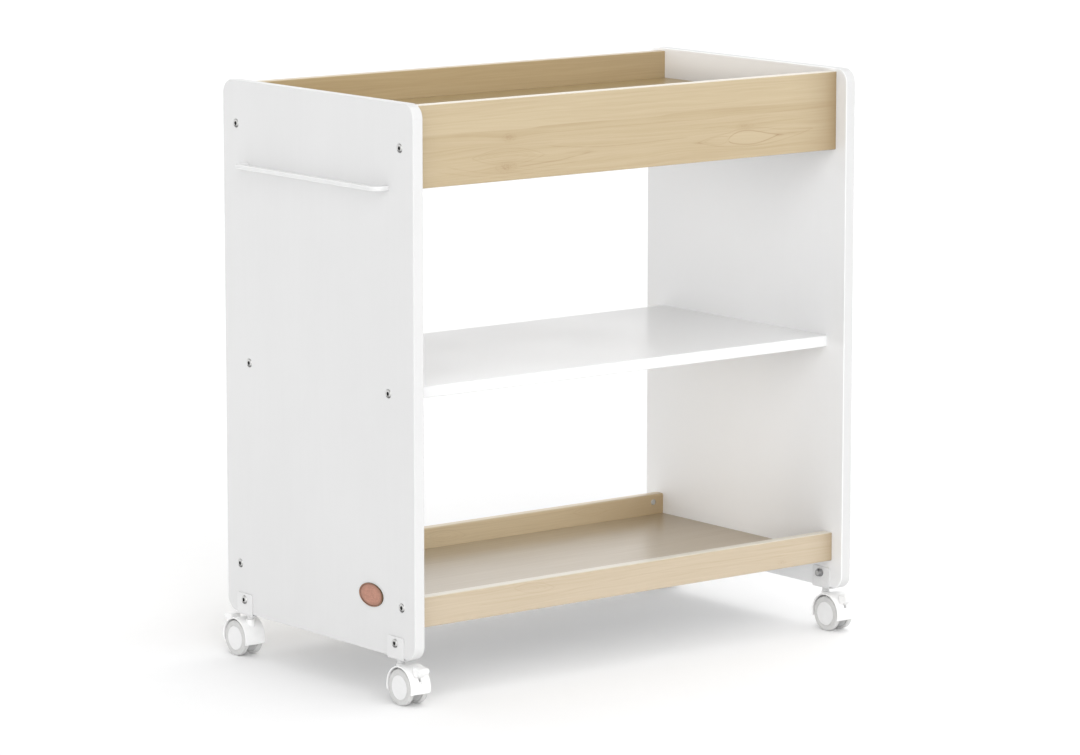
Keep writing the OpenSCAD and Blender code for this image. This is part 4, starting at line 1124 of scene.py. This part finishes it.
def hood():
    """The castor's shell, bent from a plate, with its middle web and the boss for the stem."""
    t, w2 = HOOD_RO - HOOD_RI, HOOD_W / 2
    cut = math.asin((H_LO[2] - AXLE_Z - HOOD_UP) / HOOD_RO)
    s0, s1 = cut * HOOD_RO, (math.pi - cut) * HOOD_RO

    def place(s, b, w):
        q, r = s / HOOD_RO, HOOD_RO - w
        return (b, r * math.cos(q), HOOD_UP + r * math.sin(q))

    lines = [s0 + (s1 - s0) * k / 84 for k in range(1, 84)]
    slot_a, slot_b = math.radians(13.0) * HOOD_RO, math.radians(43.0) * HOOD_RO
    ring = lambda r: rrect(slot_a - r, -2.3 - r, slot_b + r, 2.3 + r, 1.2 + r, 5, 0.0, lines)
    holes = [(ring, [(0.3, 0), (0.08, 0.1), (0.0, 0.3), (0.0, t)])]
    extra = [(s, b) for s in lines for b in (-16.0, -11.0, -6.0, 0.0, 6.0, 11.0, 16.0)]
    shell = plate(lambda d: rrect(s0, -w2, s1, w2, 1.4, 5, d, lines), t, 0.7, place, holes, 4, extra)
    low = H_LO[2] - AXLE_Z
    r = HOOD_RI + 0.9
    a = math.asin((low + 0.6 - HOOD_UP) / r)
    out = [(r * math.cos(a + (math.pi - 2 * a) * k / 72), HOOD_UP + r * math.sin(a + (math.pi - 2 * a) * k / 72)) for k in range(73)]
    out += [(-7.7, low + 0.6)] + [(8 * math.cos(q), 8 * math.sin(q)) for q in (math.radians(213 + (327 - 213) * k / 14) for k in range(15))] + [(7.7, low + 0.6)]
    out = [q for i, q in enumerate(out) if math.dist(q, out[i - 1]) > 0.05]
    web = prism(out, -4.5, 4.5, 0.3, 2, [hole((0, 0), [(3.02, 0), (3.02, 9.0)])])
    pocket = prism(sweep_outline(31.0, 0.5), -2.0, 2.0, 0.02, 1)
    swing = lathe([(8.5, -2.0), (8.5, 2.0)], 40)
    rooms = [lathe([(WHEEL_R + 0.9, 4.6), (WHEEL_R + 0.9, 22.0)], 96), lathe([(WHEEL_R + 0.9, -22.0), (WHEEL_R + 0.9, -4.6)], 96)]
    top = H_HI[2] - AXLE_Z if H_HI[2] - AXLE_Z < 33 else 32.4
    top = 32.4
    z_prof = [(7.3, 18.5), (7.3, top - 0.9)] + [(6.4 + 0.9 * math.cos(q), top - 0.9 + 0.9 * math.sin(q)) for q in (math.pi / 8 * k for k in range(1, 5))]
    z_prof += [(3.8, top), (3.55, top - 0.25), (3.55, 19.0)]
    boss = Shape().add(lathe(z_prof, 56), lambda q: (q[1], q[2] - TRAIL, q[0]))
    boss = combine(boss, [("DIFFERENCE", room) for room in rooms])
    web = combine(web, [("DIFFERENCE", pocket), ("DIFFERENCE", swing)])
    return combine(shell, [("UNION", web), ("UNION", boss)])


HOOD = hood()


def lever():
    """The brake tab with its rounded nose, and the arm that runs through the slot to the axle."""
    clear = HOOD_RO + 0.8
    back = [(clear * math.cos(math.radians(q)), HOOD_UP + clear * math.sin(math.radians(q))) for q in np.linspace(33.2, 45.2, 9)]
    nose = [(37.6 + 4.8 * math.cos(math.radians(q)), 28.9 + 4.8 * math.sin(math.radians(q))) for q in np.linspace(-98, 84, 20)]
    lower = round_poly([(28.4, 18.7), (29.9, 19.7), (35.1, 23.3)], [0, 1.2, 0])
    upper = [(33.0, 34.15), (26.2, 34.75)] + [(24.6 + 1.5 * math.cos(q), 33.2 + 1.5 * math.sin(q)) for q in (math.radians(80 + 95 * k / 5) for k in range(6))]
    out = list(lower) + nose + upper + [(23.0, 30.0), (23.1, 26.6)] + [q for q in reversed(back)]
    out = [q for i, q in enumerate(out) if math.dist(q, out[i - 1]) > 0.12]
    head = prism(out, -9.0, 9.0, 0.9, 4)
    a = math.radians(38)
    ca, sa = math.cos(a), math.sin(a)
    t0 = math.asin(3.4 / 7.6)
    hub = [(7.6 * math.cos(q), 7.6 * math.sin(q)) for q in np.linspace(a + t0, a + 2 * math.pi - t0, 36)]
    tip = [(33.6 * ca + 3.4 * sa, 33.6 * sa - 3.4 * ca), (33.6 * ca - 3.4 * sa, 33.6 * sa + 3.4 * ca)]
    arm = prism(hub + tip, -1.7, 1.7, 0.3, 2, [hole((0, 0), [(3.06, 0), (3.06, 3.4)])])
    return combine(head, [("UNION", arm)])


LEVER = lever()
AXLE = lathe([(2.5, -15.6), (3.0, -15.1), (3.0, 15.1), (2.5, 15.6)], 40)


def wheel():
    """Hub: a flush outer disc with a fine edge, a solid web with a shallow dish in its inner face, and a bored boss."""
    i, o = WHEEL_IN, WHEEL_OUT
    prof = [(3.06, 15.6), (3.06, 5.2), (3.3, 5.0), (6.2, 5.0), (6.5, 5.3), (6.6, i + 0.75), (7.3, i + 1.2)]
    prof += [(12.0, i + 1.3), (18.4, i + 1.2), (20.6, i + 1.0), (21.4, i + 0.65), (23.8, i + 0.6), (24.1, i + 0.9)]
    prof += [(24.1, o - 2.6), (23.9, o - 2.45), (19.38, o - 2.45), (19.38, o - 0.55)]
    prof += arc(18.83, o - 0.55, 0.55, 0, 90, 4)[1:] + [(17.0, o + 0.02), (13.0, o + 0.1), (8.0, o + 0.16), (3.0, o + 0.18)]
    return lathe(prof, 72)


def tyre():
    i, o, r = WHEEL_IN, WHEEL_OUT, WHEEL_R
    prof = [(24.15, i + 0.2)] + arc(r - 2.5, i + 2.5, 2.5, -90, 0, 7) + arc(r - 2.9, o - 2.9, 2.9, 0, 90, 9)
    prof += [(23.0, o + 0.0), (20.1, o - 0.02), (19.65, o - 0.2), (19.5, o - 0.5), (19.5, o - 2.4), (24.15, o - 2.4)]
    return lathe(prof, 96, ring=True)


WHEEL, TYRE = wheel(), tyre()

for end in ("front", "rear"):
    for side in ("left", "right"):
        key = end + "_" + side
        axle = centre(key + "_axle")
        face = -1 if end == "front" else 1          # the brake lever's side
        stem_at = centre(key + "_stem")
        at_axle = lambda q, c=axle, f=face: (c[0] + f * q[0], c[1] + f * q[1], c[2] + q[2])
        at_stem = lambda q, c=stem_at: (c[0] + q[0], c[1] + q[1], q[2])
        upright_move = lambda q, c=stem_at, z=axle[2]: (c[0] + q[1], c[1] + q[2], z + q[0])
        piece(key + "_bracket_skin", Shape().add(SADDLE, at_stem), WHITE_METAL, "white_metal", "cabinet", key + "_bracket", smooth=35)
        piece(key + "_stem_skin", Shape().add(STEM, upright_move), WHITE_METAL, "white_metal", "cabinet", key + "_stem", smooth=35)
        piece(key + "_hood_skin", Shape().add(HOOD, at_axle), CASTOR_WHITE, "castor_plastic", key + "_swivel_body", key + "_hood", smooth=33)
        piece(key + "_axle_skin", Shape().add(AXLE, at_axle), BOLT_METAL, "bolt_steel", key + "_swivel_body", key + "_axle", smooth=35)
        piece(key + "_brake_lever_skin", Shape().add(LEVER, at_axle), CASTOR_WHITE, "castor_plastic", key + "_brake_body", key + "_brake_lever", smooth=35)
        for which in ("outer", "inner"):
            out = (-1 if side == "left" else 1) * (1 if which == "outer" else -1)
            turn = lambda q, c=axle, s=out: (c[0] + s * q[0], c[1] + q[1], c[2] + q[2])
            body = key + "_" + which + "_wheel_body"
            piece(key + "_" + which + "_wheel_skin", Shape().add(WHEEL, turn), HUB_WHITE, "hub_plastic", body, key + "_" + which + "_wheel", smooth=35)
            piece(key + "_" + which + "_tyre_skin", Shape().add(TYRE, turn), TREAD, "grey_tread", body, key + "_" + which + "_tyre", smooth=35)


# ---------------------------------------------------------------- stage, light, camera

def studio_floor():
    n = Net("studio_floor")
    x, y, z = n.place()
    grain = n.noise(x / 60, y / 60, z / 60, 3.0)
    fine = n.noise(x / 1.5, y / 1.5, z / 1.5, 2.0)
    n.bump(fine, 0.00003)
    return n.set(Base_Color=n.mix(grain, (0.955, 0.955, 0.955), (0.97, 0.97, 0.97)), Roughness=n.ramp(grain, 0.3, 0.7, 0.88, 0.94), Specular_IOR_Level=0.1)


me = bpy.data.meshes.new("studio_floor")
me.from_pydata([(-40, -40, 0), (40, -40, 0), (40, 40, 0), (-40, 40, 0)], [], [(0, 1, 2, 3)])
me.materials.append(studio_floor())
floor = bpy.data.objects.new("studio_floor", me)
bpy.context.scene.collection.objects.link(floor)

def studio_world():
    """White studio: bright along the horizon, where the walls are, and dimmer towards the ceiling."""
    w = bpy.data.worlds.new("studio")
    w.use_nodes = True
    t = w.node_tree
    coord, split = t.nodes.new("ShaderNodeTexCoord"), t.nodes.new("ShaderNodeSeparateXYZ")
    t.links.new(coord.outputs["Generated"], split.inputs[0])
    band = t.nodes.new("ShaderNodeMapRange")
    band.interpolation_type = "SMOOTHERSTEP"
    for k, v in (("From Min", 0.02), ("From Max", 0.55), ("To Min", 1.05), ("To Max", 0.36)):
        band.inputs[k].default_value = v
    t.links.new(split.outputs[2], band.inputs["Value"])
    t.links.new(band.outputs["Result"], t.nodes["Background"].inputs[1])
    t.nodes["Background"].inputs[0].default_value = (1.0, 1.0, 1.0, 1.0)
    return w


bpy.context.scene.world = studio_world()


def soft_light(name, elevation, azimuth, power):
    """A wide diffused lamp far away. Azimuth 0 is in front of the table, 90 to its right."""
    data = bpy.data.lights.new(name, "SUN")
    data.energy, data.angle = power * math.pi, math.radians(55)
    ob = bpy.data.objects.new(name, data)
    a, e = math.radians(azimuth), math.radians(elevation)
    away = Vector((math.sin(a) * math.cos(e), -math.cos(a) * math.cos(e), math.sin(e)))
    ob.rotation_euler = away.to_track_quat("Z", "Y").to_euler()
    ob.location = away * 6
    bpy.context.scene.collection.objects.link(ob)


soft_light("back", 22, 180, 0.061)
soft_light("back_right", 22, 135, 0.113)
soft_light("right", 22, 90, 0.131)
soft_light("left_front", 22, 319, 0.4455)
soft_light("left", 22, 225, 0.048)
soft_light("room", 22, 0, 0.133)
soft_light("high_front", 48, 14, 0.076)
soft_light("top", 75, 0, 0.082)
soft_light("top_right", 75, 90, 0.239)

cam_data = bpy.data.cameras.new("camera")
cam_data.lens = 159.28
cam_data.sensor_width = 36.0
cam_data.clip_end = 200.0
camera = bpy.data.objects.new("camera", cam_data)
camera.location = (-4.67935, -5.9880, 1.6954)
camera.rotation_euler = (math.pi / 2 - 0.1642, 0.0, -0.6638)
bpy.context.scene.collection.objects.link(camera)
bpy.context.scene.camera = camera

bpy.context.scene.view_settings.view_transform = "Standard"
bpy.context.scene.view_settings.look = "None"
bpy.context.scene.view_settings.exposure = 0.0
bpy.context.scene.view_settings.gamma = 1.0
